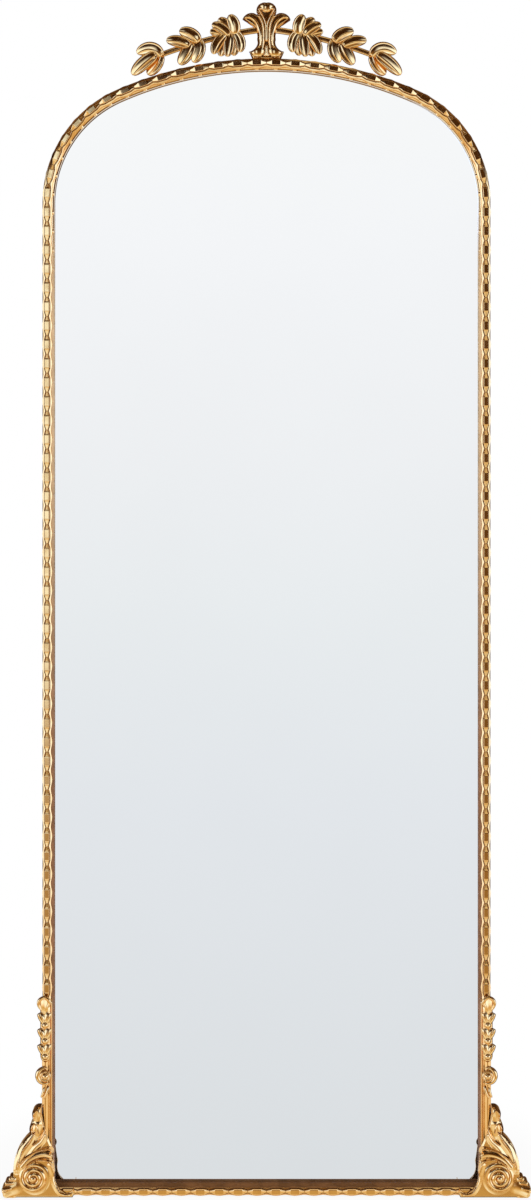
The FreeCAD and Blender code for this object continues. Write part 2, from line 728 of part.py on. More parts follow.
def sprig_stem(gap):
    """Right-hand rod of the sprig, or the bore that it fits when a gap is given."""
    p = crest_point
    rod = tube(p(9, 44), [(p(91, 28), p(166, 3.5))], STEM_RADIUS + gap)
    rod.translate(Vector(0, Y_CREST_MIDDLE, 0))
    return rod


def leaf(base, tip, half_width, bend):
    """Pointed leaf along a bowed spine; bend moves the middle of the spine to the left of its run."""
    run = tip - base
    across = Vector(-run.z, 0, run.x).normalize()
    bow = bend * CREST_STEP * 4
    sections = []
    for share, width in LEAF_STATIONS:
        middle = base + run * share + across * (bow * share * (1 - share))
        slope = run + across * (bow * (1 - 2 * share))
        reach = half_width * CREST_STEP * width
        side = Vector(-slope.z, 0, slope.x).normalize() * reach
        front = middle - Vector(0, reach * LEAF_FRONT_SWELL, 0)
        back = middle + Vector(0, reach * LEAF_BACK_SWELL, 0)
        left = middle + side
        right = middle - side
        sections.append(trace(left, [(front, right), (back, left)]))
    return Part.makeLoft(sections, True, False)


def leaf_cluster(hub_start, hub_end, leaves):
    """Cast cluster: leaves fused on a sleeve that is bored for the stem."""
    run = hub_end - hub_start
    shapes = [Part.makeCylinder(LEAF_HUB_RADIUS, run.Length, hub_start, run)]
    for base, tip, half_width, bend in leaves:
        shapes.append(leaf(base, tip, half_width, bend))
    for shape in shapes:
        shape.translate(Vector(0, Y_CREST_MIDDLE, 0))
    return shapes[0].multiFuse(shapes[1:]).cut(sprig_stem(PIN_CLEARANCE))


def inner_leaves():
    p = crest_point
    return leaf_cluster(p(43, 38.5), p(68, 33.2), [
        (p(48, 41), p(59, 65), 6.0, 4.0),
        (p(53, 40), p(73, 60), 5.5, 3.0),
        (p(58, 38), p(85, 51), 5.5, 3.0),
        (p(62, 35), p(87, 39), 5.0, 2.0),
        (p(48, 36), p(39, 8), 5.5, -5.0),
        (p(52, 35), p(49, 3), 5.5, -2.5),
        (p(56, 34), p(60, 1), 5.5, 0.0),
        (p(60, 33), p(71, 2), 5.5, 1.5),
        (p(64, 32), p(84, 5), 5.5, 2.5)])


def middle_leaves():
    p = crest_point
    return leaf_cluster(p(99, 26), p(124, 18.5), [
        (p(100, 28), p(134, 40), 7.0, 4.0),
        (p(118, 22), p(154, 26), 6.5, 3.0),
        (p(102, 23), p(112, -7), 6.5, -4.0),
        (p(118, 19), p(137, -10), 6.5, -1.5)])


def outer_leaves():
    p = crest_point
    return leaf_cluster(p(157, 7.0), p(176, 0.3), [
        (p(161, 6), p(199, 7), 6.5, 9.0),
        (p(162, 3), p(184, -25), 6.5, -3.5),
        (p(172, 3), p(206, -26), 6.5, 2.5)])


def holes(shape, cutters):
    return shape.cut(cutters[0].multiFuse(cutters[1:]))


def both_sides(places):
    """Places of the right-hand side with their mirror images."""
    return [place for x, *rest in places for place in ((x, *rest), (-x, *rest))]


def build():
    """All pieces of the mirror by name, with the holes that their fasteners need."""
    short = SHORT_SCREW_LENGTH
    plate_back = Y_RAIL_BACK + TURN_PLATE_THICKNESS
    joint_back = Y_RAIL_BACK + JOINT_PLATE_THICKNESS
    strap_back = Y_RAIL_BACK + STRAP_THICKNESS
    bumper_seat = Y_RAIL_BACK + BUMPER_FLOOR
    turn_places = turn_plate_places()
    turn_holes = [screw_hole(x, z, plate_back, short) for x, z, turn in turn_places]
    joint_places = both_sides(joint_screw_places())
    joint_holes = [screw_hole(x, z, joint_back, short) for x, z in joint_places]
    ornament_places = ornament_screw_places()
    ornament_holes = [screw_hole(x, z, Y_RAIL_BACK, length) for x, z, length in ornament_places]
    strap_places = both_sides(strap_screw_places())
    strap_holes = [screw_hole(x, z, strap_back, short) for x, z in strap_places]
    bumper_holes = [screw_hole(x, z, bumper_seat, short) for x, z in bumper_places()]
    back_holes = turn_holes + joint_holes
    dowel_hole = dowel(PIN_CLEARANCE)
    stud_hole = crest_stud(PIN_CLEARANCE)

    pieces = {}
    arch_cutters = back_holes + [dowel_hole, mirrored(dowel_hole), stud_hole, mirrored(stud_hole)]
    pieces["arch_rail"] = holes(arch_rail(), arch_cutters)
    upright = holes(side_rail(), back_holes + ornament_holes + [dowel_hole])
    pieces["right_side_rail"] = upright
    pieces["left_side_rail"] = mirrored(upright)
    pieces["bottom_rail"] = holes(bottom_rail(), back_holes)
    pieces["mirror_glass"] = mirror_glass()
    pieces["rebate_tape"] = rebate_tape()
    pieces["backboard"] = holes(backboard(), strap_holes + bumper_holes)

    plates = [turn_plate(x, z, turn) for x, z, turn in turn_places]
    pieces["turn_plates"] = holes(Part.makeCompound(plates), turn_holes)
    arch_plates = [arch_joint_plate(), mirrored(arch_joint_plate())]
    pieces["arch_joint_plates"] = holes(Part.makeCompound(arch_plates), joint_holes)
    corner_plates = [corner_plate(), mirrored(corner_plate())]
    pieces["corner_plates"] = holes(Part.makeCompound(corner_plates), joint_holes)
    pieces["turn_plate_screws"] = Part.makeCompound(
        [back_screw(x, z, plate_back, short) for x, z, turn in turn_places])
    pieces["joint_screws"] = Part.makeCompound([back_screw(x, z, joint_back, short) for x, z in joint_places])
    pieces["ornament_screws"] = Part.makeCompound(
        [back_screw(x, z, Y_RAIL_BACK, length) for x, z, length in both_sides(ornament_places)])
    pieces["rail_dowels"] = Part.makeCompound([dowel(0), mirrored(dowel(0))])
    pieces["crest_studs"] = Part.makeCompound([crest_stud(0), mirrored(crest_stud(0))])
    pieces["hanger_screws"] = Part.makeCompound(
        [back_screw(x, z, strap_back, short) for x, z in strap_places])
    pieces["wall_bumpers"] = Part.makeCompound([bumper(x, z) for x, z in bumper_places()])
    pieces["bumper_screws"] = Part.makeCompound(
        [back_screw(x, z, bumper_seat, short) for x, z in bumper_places()])

    stem_hole = sprig_stem(PIN_CLEARANCE)
    crest_cutters = [stud_hole, mirrored(stud_hole), stem_hole, mirrored(stem_hole)]
    pieces["crest_palmette"] = holes(palmette(), crest_cutters)
    handed = {
        "corner_scroll": holes(corner_scroll(), ornament_holes),
        "garland": holes(garland(), ornament_holes),
        "rosette": holes(rosette(), ornament_holes),
        "sprig_stem": sprig_stem(0),
        "inner_leaves": inner_leaves(),
        "middle_leaves": middle_leaves(),
        "outer_leaves": outer_leaves(),
        "hanger_strap": holes(hanger_strap(), strap_holes),
        "hanger_ring": hanger_ring()}
    for name, shape in handed.items():
        pieces["right_" + name] = shape
        pieces["left_" + name] = mirrored(shape)
    return pieces


def main():
    os.makedirs("parts", exist_ok=True)
    for name, shape in build().items():
        shape.translate(Vector(0, 0, -HANG_HEIGHT))
        shape.exportStep(os.path.join("parts", name + ".step"))
        print(name, len(shape.Solids), round(shape.Volume / 1000, 2), shape.isValid())


main()
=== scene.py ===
"""Dressed pieces of an arched gilt wall mirror on its fixed frame, laid out as an add-on.

Metres. X runs to the viewer's right, Y away from the viewer to the wall, Z up.
"""
import math

import bmesh
import bpy
import numpy as np
from bpy.props import FloatProperty, FloatVectorProperty, PointerProperty
from bpy.types import Operator, Panel, PropertyGroup
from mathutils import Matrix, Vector


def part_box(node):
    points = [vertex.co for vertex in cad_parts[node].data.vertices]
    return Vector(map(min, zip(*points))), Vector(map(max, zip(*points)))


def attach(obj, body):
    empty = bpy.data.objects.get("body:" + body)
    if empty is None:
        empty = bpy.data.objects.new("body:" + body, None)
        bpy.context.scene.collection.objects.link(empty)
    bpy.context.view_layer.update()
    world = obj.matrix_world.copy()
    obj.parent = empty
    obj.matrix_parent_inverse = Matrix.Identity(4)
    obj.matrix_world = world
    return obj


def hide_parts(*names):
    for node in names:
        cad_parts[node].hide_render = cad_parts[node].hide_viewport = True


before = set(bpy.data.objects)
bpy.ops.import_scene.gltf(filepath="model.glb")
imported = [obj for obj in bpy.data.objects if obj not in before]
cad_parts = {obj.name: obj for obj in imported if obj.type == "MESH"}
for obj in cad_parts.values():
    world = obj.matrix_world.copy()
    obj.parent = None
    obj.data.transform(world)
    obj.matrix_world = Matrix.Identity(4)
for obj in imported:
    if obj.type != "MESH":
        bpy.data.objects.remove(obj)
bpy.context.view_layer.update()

bl_info = {
    "name": "Arched gilt wall mirror",
    "version": (1, 0, 0),
    "blender": (4, 5, 0),
    "location": "View3D > Sidebar > Mirror",
    "description": "Builds the dressed pieces of the wall mirror on its fixed frame",
    "category": "Add Mesh",
}

MM = 0.001
GLASS_PLAY = 1.0 * MM

# Sizes taken from the frame
ARCH_LOW, ARCH_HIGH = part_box("arch_rail")
BOTTOM_LOW, BOTTOM_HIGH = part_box("bottom_rail")
STEM_LOW, STEM_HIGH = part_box("right_sprig_stem")
HALF_WIDTH = ARCH_HIGH.x
SPRING_Z = ARCH_LOW.z
CROWN_Z = ARCH_HIGH.z
BASE_Z = BOTTOM_LOW.z
RAIL_WIDTH = BOTTOM_HIGH.z - BASE_Z
BACK_Y = ARCH_HIGH.y
REBATE_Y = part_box("rebate_tape")[0].y
LEG_WIDTH = HALF_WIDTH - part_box("mirror_glass")[1].x - GLASS_PLAY
CREST_Y = (STEM_LOW.y + STEM_HIGH.y) / 2
OBJECT_BODY = "mirror"


def length_setting(label, text, value):
    return FloatProperty(name=label, description=text, default=value, unit='LENGTH')


def colour_setting(label, text, value):
    return FloatVectorProperty(name=label, description=text, default=value, size=3, subtype='COLOR')


def gloss_setting(label, text, value):
    return FloatProperty(name=label, description=text, default=value, min=0, max=1, subtype='FACTOR')


class MouldingSizes(PropertyGroup):
    """Sizes of the beaded moulding."""
    crown_radius: length_setting("Crown radius", "Outer radius of the arch at its crown", 0.574)
    depth: length_setting("Depth", "From the rebate forward to the lips", 0.018)
    bead_pitch: length_setting("Bead pitch", "Distance from bead to bead", 0.0292)
    bead_rise: length_setting("Bead rise", "Height of a bead over the lip plane", 0.0024)
    waist_drop: length_setting("Waist drop", "Depth of the waist between two beads", 0.0010)
    ribbon_drop: length_setting("Ribbon drop", "Fall of the ribbons from the middle to the edge", 0.0034)
    beads_from: length_setting("Beads from", "Height over the base where an upright's beads begin", 0.305)
    bottom_span: length_setting("Bottom span", "Half length of the bottom rail's beaded stretch", 0.290)

    def lips_y(self):
        """Depth of the lips, the plane of the moulding's front."""
        return REBATE_Y - self.depth


class OrnamentSizes(PropertyGroup):
    """Sizes of the cast ornaments."""
    foot_thickness: length_setting("Foot thickness", "Plate of a scroll foot in front of the lips", 0.005)
    foot_wing: length_setting("Foot wing", "Depth of the foot beside the upright, behind the lips", 0.016)
    crest_thickness: length_setting("Crest thickness", "Plate of the palmette", 0.012)
    stem_radius: length_setting("Stem radius", "Rod of a sprig", 0.0044)
    rosette_radius: length_setting("Rosette radius", "Button of a rosette", 0.0084)


class Finishes(PropertyGroup):
    """Colours and gloss of the mirror's surfaces."""
    gold: colour_setting("Gold", "Polished gilding", (0.90, 0.55, 0.22))
    # Umber: toning and painted shade in the gilt's hollows, painted shade in the ribbon slots and on the
    # casting backs.
    umber: colour_setting("Umber", "Toned gilding in the hollows", (0.17, 0.08, 0.022))
    gold_gloss: gloss_setting("Gold roughness", "Roughness of the polished gilding", 0.09)
    satin_gloss: gloss_setting("Satin roughness", "Roughness of feet, garlands and rosettes", 0.11)
    # Painted shade on the wall inside the side rails: brown low down, paler up towards the arch.
    sight: colour_setting("Sight edge", "Toned metal inside the side rails", (0.27, 0.135, 0.07))
    upper_sight: colour_setting("Upper sight edge", "Paler metal up towards the arch", (0.70, 0.50, 0.30))
    # Dark painted shade on the wall inside the bottom rail.
    deep_sight_shade: colour_setting("Lower sight edge", "Dark metal inside the bottom rail", (0.15, 0.066, 0.024))
    silver: colour_setting("Silver", "Silvering behind the glass", (0.93, 0.945, 0.95))
    board: colour_setting("Fibreboard", "Pressed fibreboard of the back", (0.36, 0.235, 0.135))
    zinc: colour_setting("Zinc", "Bright zinc plate", (0.66, 0.67, 0.68))
    rubber: colour_setting("Rubber", "Black rubber and foam", (0.025, 0.025, 0.026))


class StageSettings(PropertyGroup):
    """Camera and room."""
    camera_distance: length_setting("Camera distance", "From the lens to the lips of the frame", 3.3)
    camera_height: length_setting("Camera height", "From the base up to the lens", 1.2)
    view_height: length_setting("View height", "Height of the picture at the lips", 1.8377)
    view_middle: FloatVectorProperty(
        name="View middle", description="Middle of the picture, across and up from the base",
        default=(-0.0015, 0.9143), size=2, unit='LENGTH')
    floor: colour_setting("Floor", "Pale floor", (0.86, 0.86, 0.86))


# Mesh building

SHARP_ANGLE = math.radians(42)
EASE_FACTOR = 0.5
LEAST_END = 0.02


def smoothstep(low, high, value):
    share = np.clip((value - low) / (high - low), 0.0, 1.0)
    return share * share * (3.0 - 2.0 * share)


def rounded(value, middle, half):
    """Half-round bump over a stretch: 1 in its middle, 0 at its ends and beyond."""
    return np.sqrt(np.clip(1.0 - ((value - middle) / half) ** 2, 0.0, 1.0))


def swell(value, middle, half):
    """Soft bump over a stretch: 1 in its middle, 0 at its ends and beyond."""
    return 0.5 + 0.5 * np.cos(math.pi * np.clip(np.abs(value - middle) / half, 0, 1))


class Skins:
    """Closed skins gathered into the mesh of one piece."""

    def __init__(self):
        self.points = []
        self.faces = []
        self.count = 0

    def loft(self, rings):
        """Skin an array of closed rings of points and cap its two ends."""
        rows, around = rings.shape[:2]
        row = np.arange(rows - 1)[:, None] * around
        column = np.arange(around)[None, :]
        following = (column + 1) % around
        here, beside = row + column, row + following
        quads = np.stack([here, beside, around + beside, around + here], axis=-1)
        self.faces += (quads.reshape(-1, 4) + self.count).tolist()
        last = self.count + (rows - 1) * around
        self.faces.append(list(range(self.count, self.count + around)))
        self.faces.append(list(range(last, last + around)))
        self.points += rings.reshape(-1, 3).tolist()
        self.count += rows * around

    def mesh(self, name, side=1):
        """The finished mesh, turned to the left-hand side where side is -1."""
        mesh = bpy.data.meshes.new(name)
        points = [(side * x, y, z) for x, y, z in self.points]
        mesh.from_pydata(points, [], self.faces)
        face_out(mesh)
        return mesh


def face_out(mesh):
    shape = bmesh.new()
    shape.from_mesh(mesh)
    bmesh.ops.recalc_face_normals(shape, faces=shape.faces)
    shape.to_mesh(mesh)
    shape.free()


def add_piece(name, mesh, material, slot, *nodes):
    """Place a piece that stands for CAD nodes and moves with the mirror."""
    mesh.name = name
    mesh.polygons.foreach_set("use_smooth", [True] * len(mesh.polygons))
    mesh.set_sharp_from_angle(angle=SHARP_ANGLE)
    mesh.materials.append(material)
    piece = bpy.data.objects.new(name, mesh)
    bpy.context.scene.collection.objects.link(piece)
    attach(piece, OBJECT_BODY)
    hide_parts(*nodes)
    return piece


def dress(node, material):
    """Give a CAD node that keeps its own shape a finished material."""
    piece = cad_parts[node]
    if not piece.material_slots:
        piece.data.materials.append(material)
    for place in piece.material_slots:
        place.material = material


def fused(mesh, voxel, rounds):
    """One even skin over the overlapping skins of a mesh, eased by a few rounds of smoothing."""
    maker = bpy.data.objects.new("maker", mesh)
    bpy.context.scene.collection.objects.link(maker)
    skin = maker.modifiers.new("skin", 'REMESH')
    skin.mode = 'VOXEL'
    skin.voxel_size = voxel
    ease = maker.modifiers.new("ease", 'SMOOTH')
    ease.factor = EASE_FACTOR
    ease.iterations = rounds
    result = bpy.data.meshes.new_from_object(maker.evaluated_get(bpy.context.evaluated_depsgraph_get()))
    bpy.data.objects.remove(maker)
    return result


def mirrored_mesh(mesh):
    """Copy of a right-hand mesh for the left-hand side."""
    other = mesh.copy()
    points = mesh_points(other)
    points[:, 0] *= -1
    set_mesh_points(other, points)
    face_out(other)
    return other


def mesh_points(mesh):
    flat = np.empty(len(mesh.vertices) * 3)
    mesh.vertices.foreach_get("co", flat)
    return flat.reshape(-1, 3)


def set_mesh_points(mesh, points):
    mesh.vertices.foreach_set("co", points.ravel())
    mesh.update()


def arc_points(start, via, end, count):
    """Points after start on the arc through three points of a plane."""
    (ax, az), (bx, bz), (cx, cz) = start, via, end
    twice = 2 * (ax * (bz - cz) + bx * (cz - az) + cx * (az - bz))
    a, b, c = ax * ax + az * az, bx * bx + bz * bz, cx * cx + cz * cz
    x = (a * (bz - cz) + b * (cz - az) + c * (az - bz)) / twice
    z = (a * (cx - bx) + b * (ax - cx) + c * (bx - ax)) / twice
    first = math.atan2(az - z, ax - x)
    sweep = (math.atan2(cz - z, cx - x) - first) % (2 * math.pi)
    if (math.atan2(bz - z, bx - x) - first) % (2 * math.pi) > sweep:
        sweep -= 2 * math.pi
    radius = math.hypot(ax - x, az - z)
    turns = first + sweep * np.arange(1, count + 1) / count
    return np.stack([x + radius * np.cos(turns), z + radius * np.sin(turns)], axis=-1)


def outline_points(start, steps, count=10):
    """Outline of line and arc steps: one point is a line, two points are an arc through the first."""
    points = [np.array([start], float)]
    here = start
    for step in steps:
        if len(step) == 1:
            points.append(np.array([step[0]], float))
        else:
            points.append(arc_points(here, step[0], step[1], count))
        here = step[-1]
    return np.concatenate(points)


def smooth_path(knots, count):
    """Evenly numbered points of a smooth curve through the knots."""
    knots = np.array(knots, float)
    padded = np.concatenate([2 * knots[:1] - knots[1:2], knots, 2 * knots[-1:] - knots[-2:-1]])
    place = np.linspace(0, len(knots) - 1, count)
    index = np.minimum(place.astype(int), len(knots) - 2)
    t = (place - index)[:, None]
    p0, p1, p2, p3 = (padded[index + step] for step in range(4))
    return 0.5 * (2 * p1 + (p2 - p0) * t + (2 * p0 - 5 * p1 + 4 * p2 - p3) * t ** 2
                  + (3 * p1 - p0 - 3 * p2 + p3) * t ** 3)


def as_rings(x, y, z):
    """Rings of points, from coordinates that spread over the rings and the points of each."""
    return np.stack(np.broadcast_arrays(x, y, z), axis=-1)


def round_turns(sides):
    """Even angles of a full turn."""
    return 2 * math.pi * np.arange(sides) / sides


def left_of(run):
    """Unit vectors to the left of runs in the x-z plane."""
    return np.stack([-run[..., 1], run[..., 0]], axis=-1) / np.linalg.norm(run, axis=-1, keepdims=True)


def plate_rings(outline, y_front, y_back):
    """Front and back ring of a plate cut to an outline of the x-z plane."""
    return as_rings(outline[:, 0], np.array([[y_front], [y_back]]), outline[:, 1])


def tube_rings(path, radius, ends, y, sides=14, flatten=1.0, squareness=1.0):
    """Rings of a bar along a path of the x-z plane; squareness below 1 flattens its faces."""
    radii = (radius * lens_ends(len(path), ends))[:, None]
    across = left_of(np.gradient(path, axis=0))
    turns = round_turns(sides)
    wide = np.sign(np.cos(turns)) * np.abs(np.cos(turns)) ** squareness
    deep = np.sign(np.sin(turns)) * np.abs(np.sin(turns)) ** squareness
    x = path[:, :1] + radii * wide * across[:, :1]
    z = path[:, 1:] + radii * wide * across[:, 1:]
    return as_rings(x, y + flatten * radii * deep, z)


def lens_ends(count, share):
    """Factors that round off both ends of a bar over a share of its length."""
    place = np.linspace(0, 1, count)
    near = np.minimum(place, 1 - place) / share
    return np.sqrt(np.clip(1 - (1 - np.clip(near, 0, 1)) ** 2, LEAST_END, 1))


# Moulding

# Shares count half widths across the rail and half pitches along it
BEAD_HALF = 0.48
BEAD_END = 0.50
BEAD_END_RUN = 0.05
BEAD_STEP = 0.8 * MM
BEAD_POWER = 14
LINK_POWER = 6
LINK_HALF = 0.47
WAIST_HALF = 0.19
CHAIN_DEPTH = 2.6 * MM
CREASE_WIDTH = 0.11
CREASE_DEPTH = 1.8 * MM
RIBBON_FROM = 0.14
RIBBON_BY_BEAD = 0.97
RIBBON_BY_LINK = 0.73
LEDGE_DROP = 5.0 * MM
LEDGE_RUN = 0.05
# Depths behind the lips past which the rails take painted shade; over the bottom rail it begins shallower.
SLOT_DEPTH = 5.6 * MM
LOWER_SLOT_DEPTH = 3.3 * MM
SLIP_WIDTH = 2.2 * MM
SLIP_DEPTH = 9.6 * MM
SIGHT_RISE = 48 * MM
# Reeds at an upright's foot: rise in millimetres, middle and half width as shares of the rail's width
REEDS = ((1.6, 0.32, 0.34), (1.5, 0.74, 0.10), (1.0, 0.93, 0.10))
REED_SINK = 2.6 * MM
REEDS_END = (-8 * MM, 2 * MM)
FACE_SAMPLES = 81
RAIL_STEP = 0.8 * MM
MITRE_RUN = 60 * MM
# Places of the painted shade materials on the mesh of a rail
SLOT_MARK = 1
SIGHT_MARK = 2


def flat_round(value, half, power):
    """Bump about zero, flatter the higher the power: 1 in its middle, 0 at its edge and beyond."""
    return (1 - np.clip(np.abs(value) / half, 0, 1) ** power) ** (1 / power)


def beaded_face(across, phase, sizes):
    """Height over the lip plane: a chain of beads and waisted links between two falling, waved ribbons."""
    side = np.abs(across)
    away = np.abs(phase - np.round(phase)) * 2
    bead = 1 - smoothstep(BEAD_END - BEAD_END_RUN, BEAD_END + BEAD_END_RUN, away)
    taper = np.clip((away - BEAD_END) / (1 - BEAD_END), 0, 1)
    link_half = LINK_HALF + (WAIST_HALF - LINK_HALF) * taper
    half = link_half + (BEAD_HALF - link_half) * bead
    slope = sizes.bead_rise - BEAD_STEP - (sizes.bead_rise - BEAD_STEP + sizes.waist_drop) * taper
    top = slope + (sizes.bead_rise - slope) * bead
    power = LINK_POWER + (BEAD_POWER - LINK_POWER) * bead
    chain = top - CHAIN_DEPTH * (1 - flat_round(side, half, power))
    sway = 0.5 + 0.5 * np.cos(math.pi * away)
    edge = RIBBON_BY_LINK + (RIBBON_BY_BEAD - RIBBON_BY_LINK) * sway
    fall = np.clip((side - RIBBON_FROM) / (1 - RIBBON_FROM), 0, 1)
    ribbon = -sizes.waist_drop - sizes.ribbon_drop * fall
    ribbon = ribbon - LEDGE_DROP * smoothstep(edge, edge + LEDGE_RUN, side)
    crease = CREASE_DEPTH * rounded(side, half + CREASE_WIDTH / 2, CREASE_WIDTH)
    return np.where(side < half, np.maximum(chain, ribbon - crease), ribbon - crease)


def reeded_face(across):
    """Height over the lip plane on the foot of an upright: broad reed, fine ridge, sight edge."""
    height = sum(rise * MM * swell((across + 1) / 2, middle, half) for rise, middle, half in REEDS)
    return height - REED_SINK


def rail_rings(length, place, phase_of, reeded_of, mitres, sizes):
    """Rings along a rail: face from the outer edge to the sight edge, then round the rebate and back."""
    lip_y = sizes.lips_y()
    across = np.linspace(-1, 1, FACE_SAMPLES)
    slip = RAIL_WIDTH + SLIP_WIDTH
    back_insets = np.array([slip, slip, LEG_WIDTH, LEG_WIDTH, 0.0])
    back_depths = np.array([lip_y + SLIP_DEPTH, REBATE_Y, REBATE_Y, BACK_Y, BACK_Y])
    insets = np.concatenate([(across + 1) / 2 * RAIL_WIDTH, back_insets])[None, :]
    run = np.linspace(0, length, round(length / RAIL_STEP) + 1)[:, None] + np.zeros_like(insets)
    if mitres > 0:
        run = run + insets * np.clip(1 - run / MITRE_RUN, 0, 1)
    if mitres > 1:
        run = run - insets * np.clip(1 - (length - run) / MITRE_RUN, 0, 1)
    phase = phase_of(run)
    reeded = reeded_of(run)
    face = slice(0, FACE_SAMPLES)
    relief = beaded_face(across[None, :], phase[:, face], sizes) * (1 - reeded[:, face])
    relief += reeded_face(across[None, :]) * reeded[:, face]
    depth = np.empty_like(run)
    depth[:, face] = lip_y - relief
    depth[:, FACE_SAMPLES:] = back_depths
    x, z = place(run, insets + np.zeros_like(run))
    return as_rings(x, depth, z)


def no_reeds(run):
    return np.zeros_like(run)


def upright_rings(sizes):
    length = SPRING_Z - BASE_Z
    beaded = length - sizes.beads_from
    pitch = beaded / round(beaded / sizes.bead_pitch)

    def place(run, inset):
        return HALF_WIDTH - inset, BASE_Z + run

    def phase_of(run):
        return (run - sizes.beads_from) / pitch - 0.5

    def reeded_of(run):
        return 1 - smoothstep(*REEDS_END, run - sizes.beads_from)

    return rail_rings(length, place, phase_of, reeded_of, 1, sizes)


def bottom_rings(sizes):
    length = 2 * HALF_WIDTH
    pitch = 2 * sizes.bottom_span / round(2 * sizes.bottom_span / sizes.bead_pitch)

    def place(run, inset):
        return run - HALF_WIDTH, BASE_Z + inset

    def phase_of(run):
        return (run - HALF_WIDTH + sizes.bottom_span) / pitch - 0.5

    return rail_rings(length, place, phase_of, no_reeds, 2, sizes)


def arch_rings(sizes):
    crown = sizes.crown_radius
    rise = CROWN_Z - SPRING_Z
    shoulder = (crown ** 2 - HALF_WIDTH ** 2 - (crown - rise) ** 2) / (2 * (crown - HALF_WIDTH))
    shoulder_x = HALF_WIDTH - shoulder
    crown_z = CROWN_Z - crown
    side_turn = math.pi / 2 - math.asin(shoulder_x / (crown - shoulder))
    side_length = (shoulder - RAIL_WIDTH / 2) * side_turn
    crown_length = (crown - RAIL_WIDTH / 2) * (math.pi - 2 * side_turn)
    length = 2 * side_length + crown_length
    pitch = length / round(length / sizes.bead_pitch)

    def place(run, inset):
        in_first = run < side_length
        in_last = run > side_length + crown_length
        first = run / (shoulder - RAIL_WIDTH / 2)
        middle = side_turn + (run - side_length) / (crown - RAIL_WIDTH / 2)
        last = math.pi - (length - run) / (shoulder - RAIL_WIDTH / 2)
        turn = np.where(in_first, first, np.where(in_last, last, middle))
        at_side = in_first | in_last
        centre_x = np.where(in_first, shoulder_x, np.where(in_last, -shoulder_x, 0.0))
        centre_z = np.where(at_side, SPRING_Z, crown_z)
        reach = np.where(at_side, shoulder, crown) - inset
        return centre_x + reach * np.cos(turn), centre_z + reach * np.sin(turn)

    def phase_of(run):
        return run / pitch - 0.5

    return rail_rings(length, place, phase_of, no_reeds, 0, sizes)


def paint_rail_shade(mesh, rings, lip_y, slot, sight, sight_depth):
    """Paint shade into the slots outside the waved ribbons, and onto the slip and wall from the sight edge
    to the rebate.
    """
    rows, around = rings.shape[:2]
    marks = np.zeros(len(mesh.polygons), dtype=np.int32)
    grid = marks[:(rows - 1) * around].reshape(rows - 1, around)
    middle = FACE_SAMPLES // 2
    depths = rings[:-1, :FACE_SAMPLES - 1, 1] - lip_y
    grid[:, :middle] = SLOT_MARK * (depths[:, :middle] > SLOT_DEPTH)
    grid[:, middle:FACE_SAMPLES - 1] = SIGHT_MARK * (depths[:, middle:] > sight_depth)
    grid[:, FACE_SAMPLES - 1:FACE_SAMPLES + 2] = SIGHT_MARK
    grid[:, middle:FACE_SAMPLES + 2] *= rings[:-1, :1, 2] < SPRING_Z + SIGHT_RISE
    mesh.materials.append(slot)
    mesh.materials.append(sight)
    mesh.polygons.foreach_set("material_index", marks)


class MIRROR_OT_moulding(Operator):
    """Build the beaded rails of the frame"""
    bl_idname = "mirror.moulding"
    bl_label = "Moulding"

    def execute(self, context):
        sizes = context.scene.mirror_moulding
        finishes = context.scene.mirror_finishes
        gilt = polished_gilt(finishes)
        side_sight = side_sight_material(finishes)
        deep_sight_shade = painted_shade_material("lower_sight_edge", finishes.deep_sight_shade)
        slot = painted_shade_material("ribbon_slot", finishes.umber)
        upright = upright_rings(sizes)
        # Slots take umber painted shade; the sight walls take brown painted shade, darkest over the bottom
        # rail.
        for name, rings, side, sight, sight_depth in (
                ("arch", arch_rings(sizes), 1, side_sight, SLOT_DEPTH),
                ("bottom", bottom_rings(sizes), 1, deep_sight_shade, LOWER_SLOT_DEPTH),
                ("right_side", upright, 1, side_sight, SLOT_DEPTH),
                ("left_side", upright, -1, side_sight, SLOT_DEPTH)):
            skins = Skins()
            skins.loft(rings)
            piece = add_piece(name + "_moulding", skins.mesh(name, side), gilt, "gilt", name + "_rail")
            paint_rail_shade(piece.data, rings, sizes.lips_y(), slot, sight, sight_depth)
        return {'FINISHED'}


# Relief work of the feet and the palmette

NO_RIDGE = -1.0
RIDGE_SPREAD = 1.3
RIDGE_POINTS = 90
GAP_PARTS = 12
OUTLINE_STEP = 1.5 * MM
FOOT_GROUND = -0.8 * MM
FOOT_CHAMFER = 2.4 * MM
FOOT_FALL = 2.6 * MM
TOE_FROM = 37 * MM
TOE_FULL = 44 * MM
WALL_FACING = math.cos(math.radians(60))


def path_gaps(places, path):
    """Distance of each place from a path, and the share of the path's run where it is nearest."""
    nearest = []
    for part in np.array_split(places, GAP_PARTS):
        nearest.append(np.linalg.norm(part[:, None, :] - path[None, :, :], axis=2).argmin(axis=1))
    nearest = np.concatenate(nearest)
    gaps = np.full(len(places), np.inf)
    share = np.zeros(len(places))
    for step in (-1, 0):
        start = np.clip(nearest + step, 0, len(path) - 2)
        run = path[start + 1] - path[start]
        along = np.clip(((places - path[start]) * run).sum(axis=1) / (run ** 2).sum(axis=1), 0, 1)
        gap = np.linalg.norm(path[start] + run * along[:, None] - places, axis=1)
        share = np.where(gap < gaps, (start + along) / (len(path) - 1), share)
        gaps = np.minimum(gap, gaps)
    return gaps, share


def ridge_height(places, knots, widths, rises):
    """Soft ridge along a smooth path, its half width and rise given at both ends."""
    gap, share = path_gaps(places, smooth_path(knots, RIDGE_POINTS) * MM)
    width = RIDGE_SPREAD * (widths[0] + (widths[1] - widths[0]) * share) * MM
    rise = (rises[0] + (rises[1] - rises[0]) * share) * MM
    return np.where(gap < width, rise * swell(gap, 0.0, width), NO_RIDGE)


def ridged(places, ground, ridges):
    """Height of a level ground with ridges laid on it."""
    height = np.full(len(places), ground)
    for ridge in ridges:
        height = np.maximum(height, ridge_height(places, *ridge))
    return height


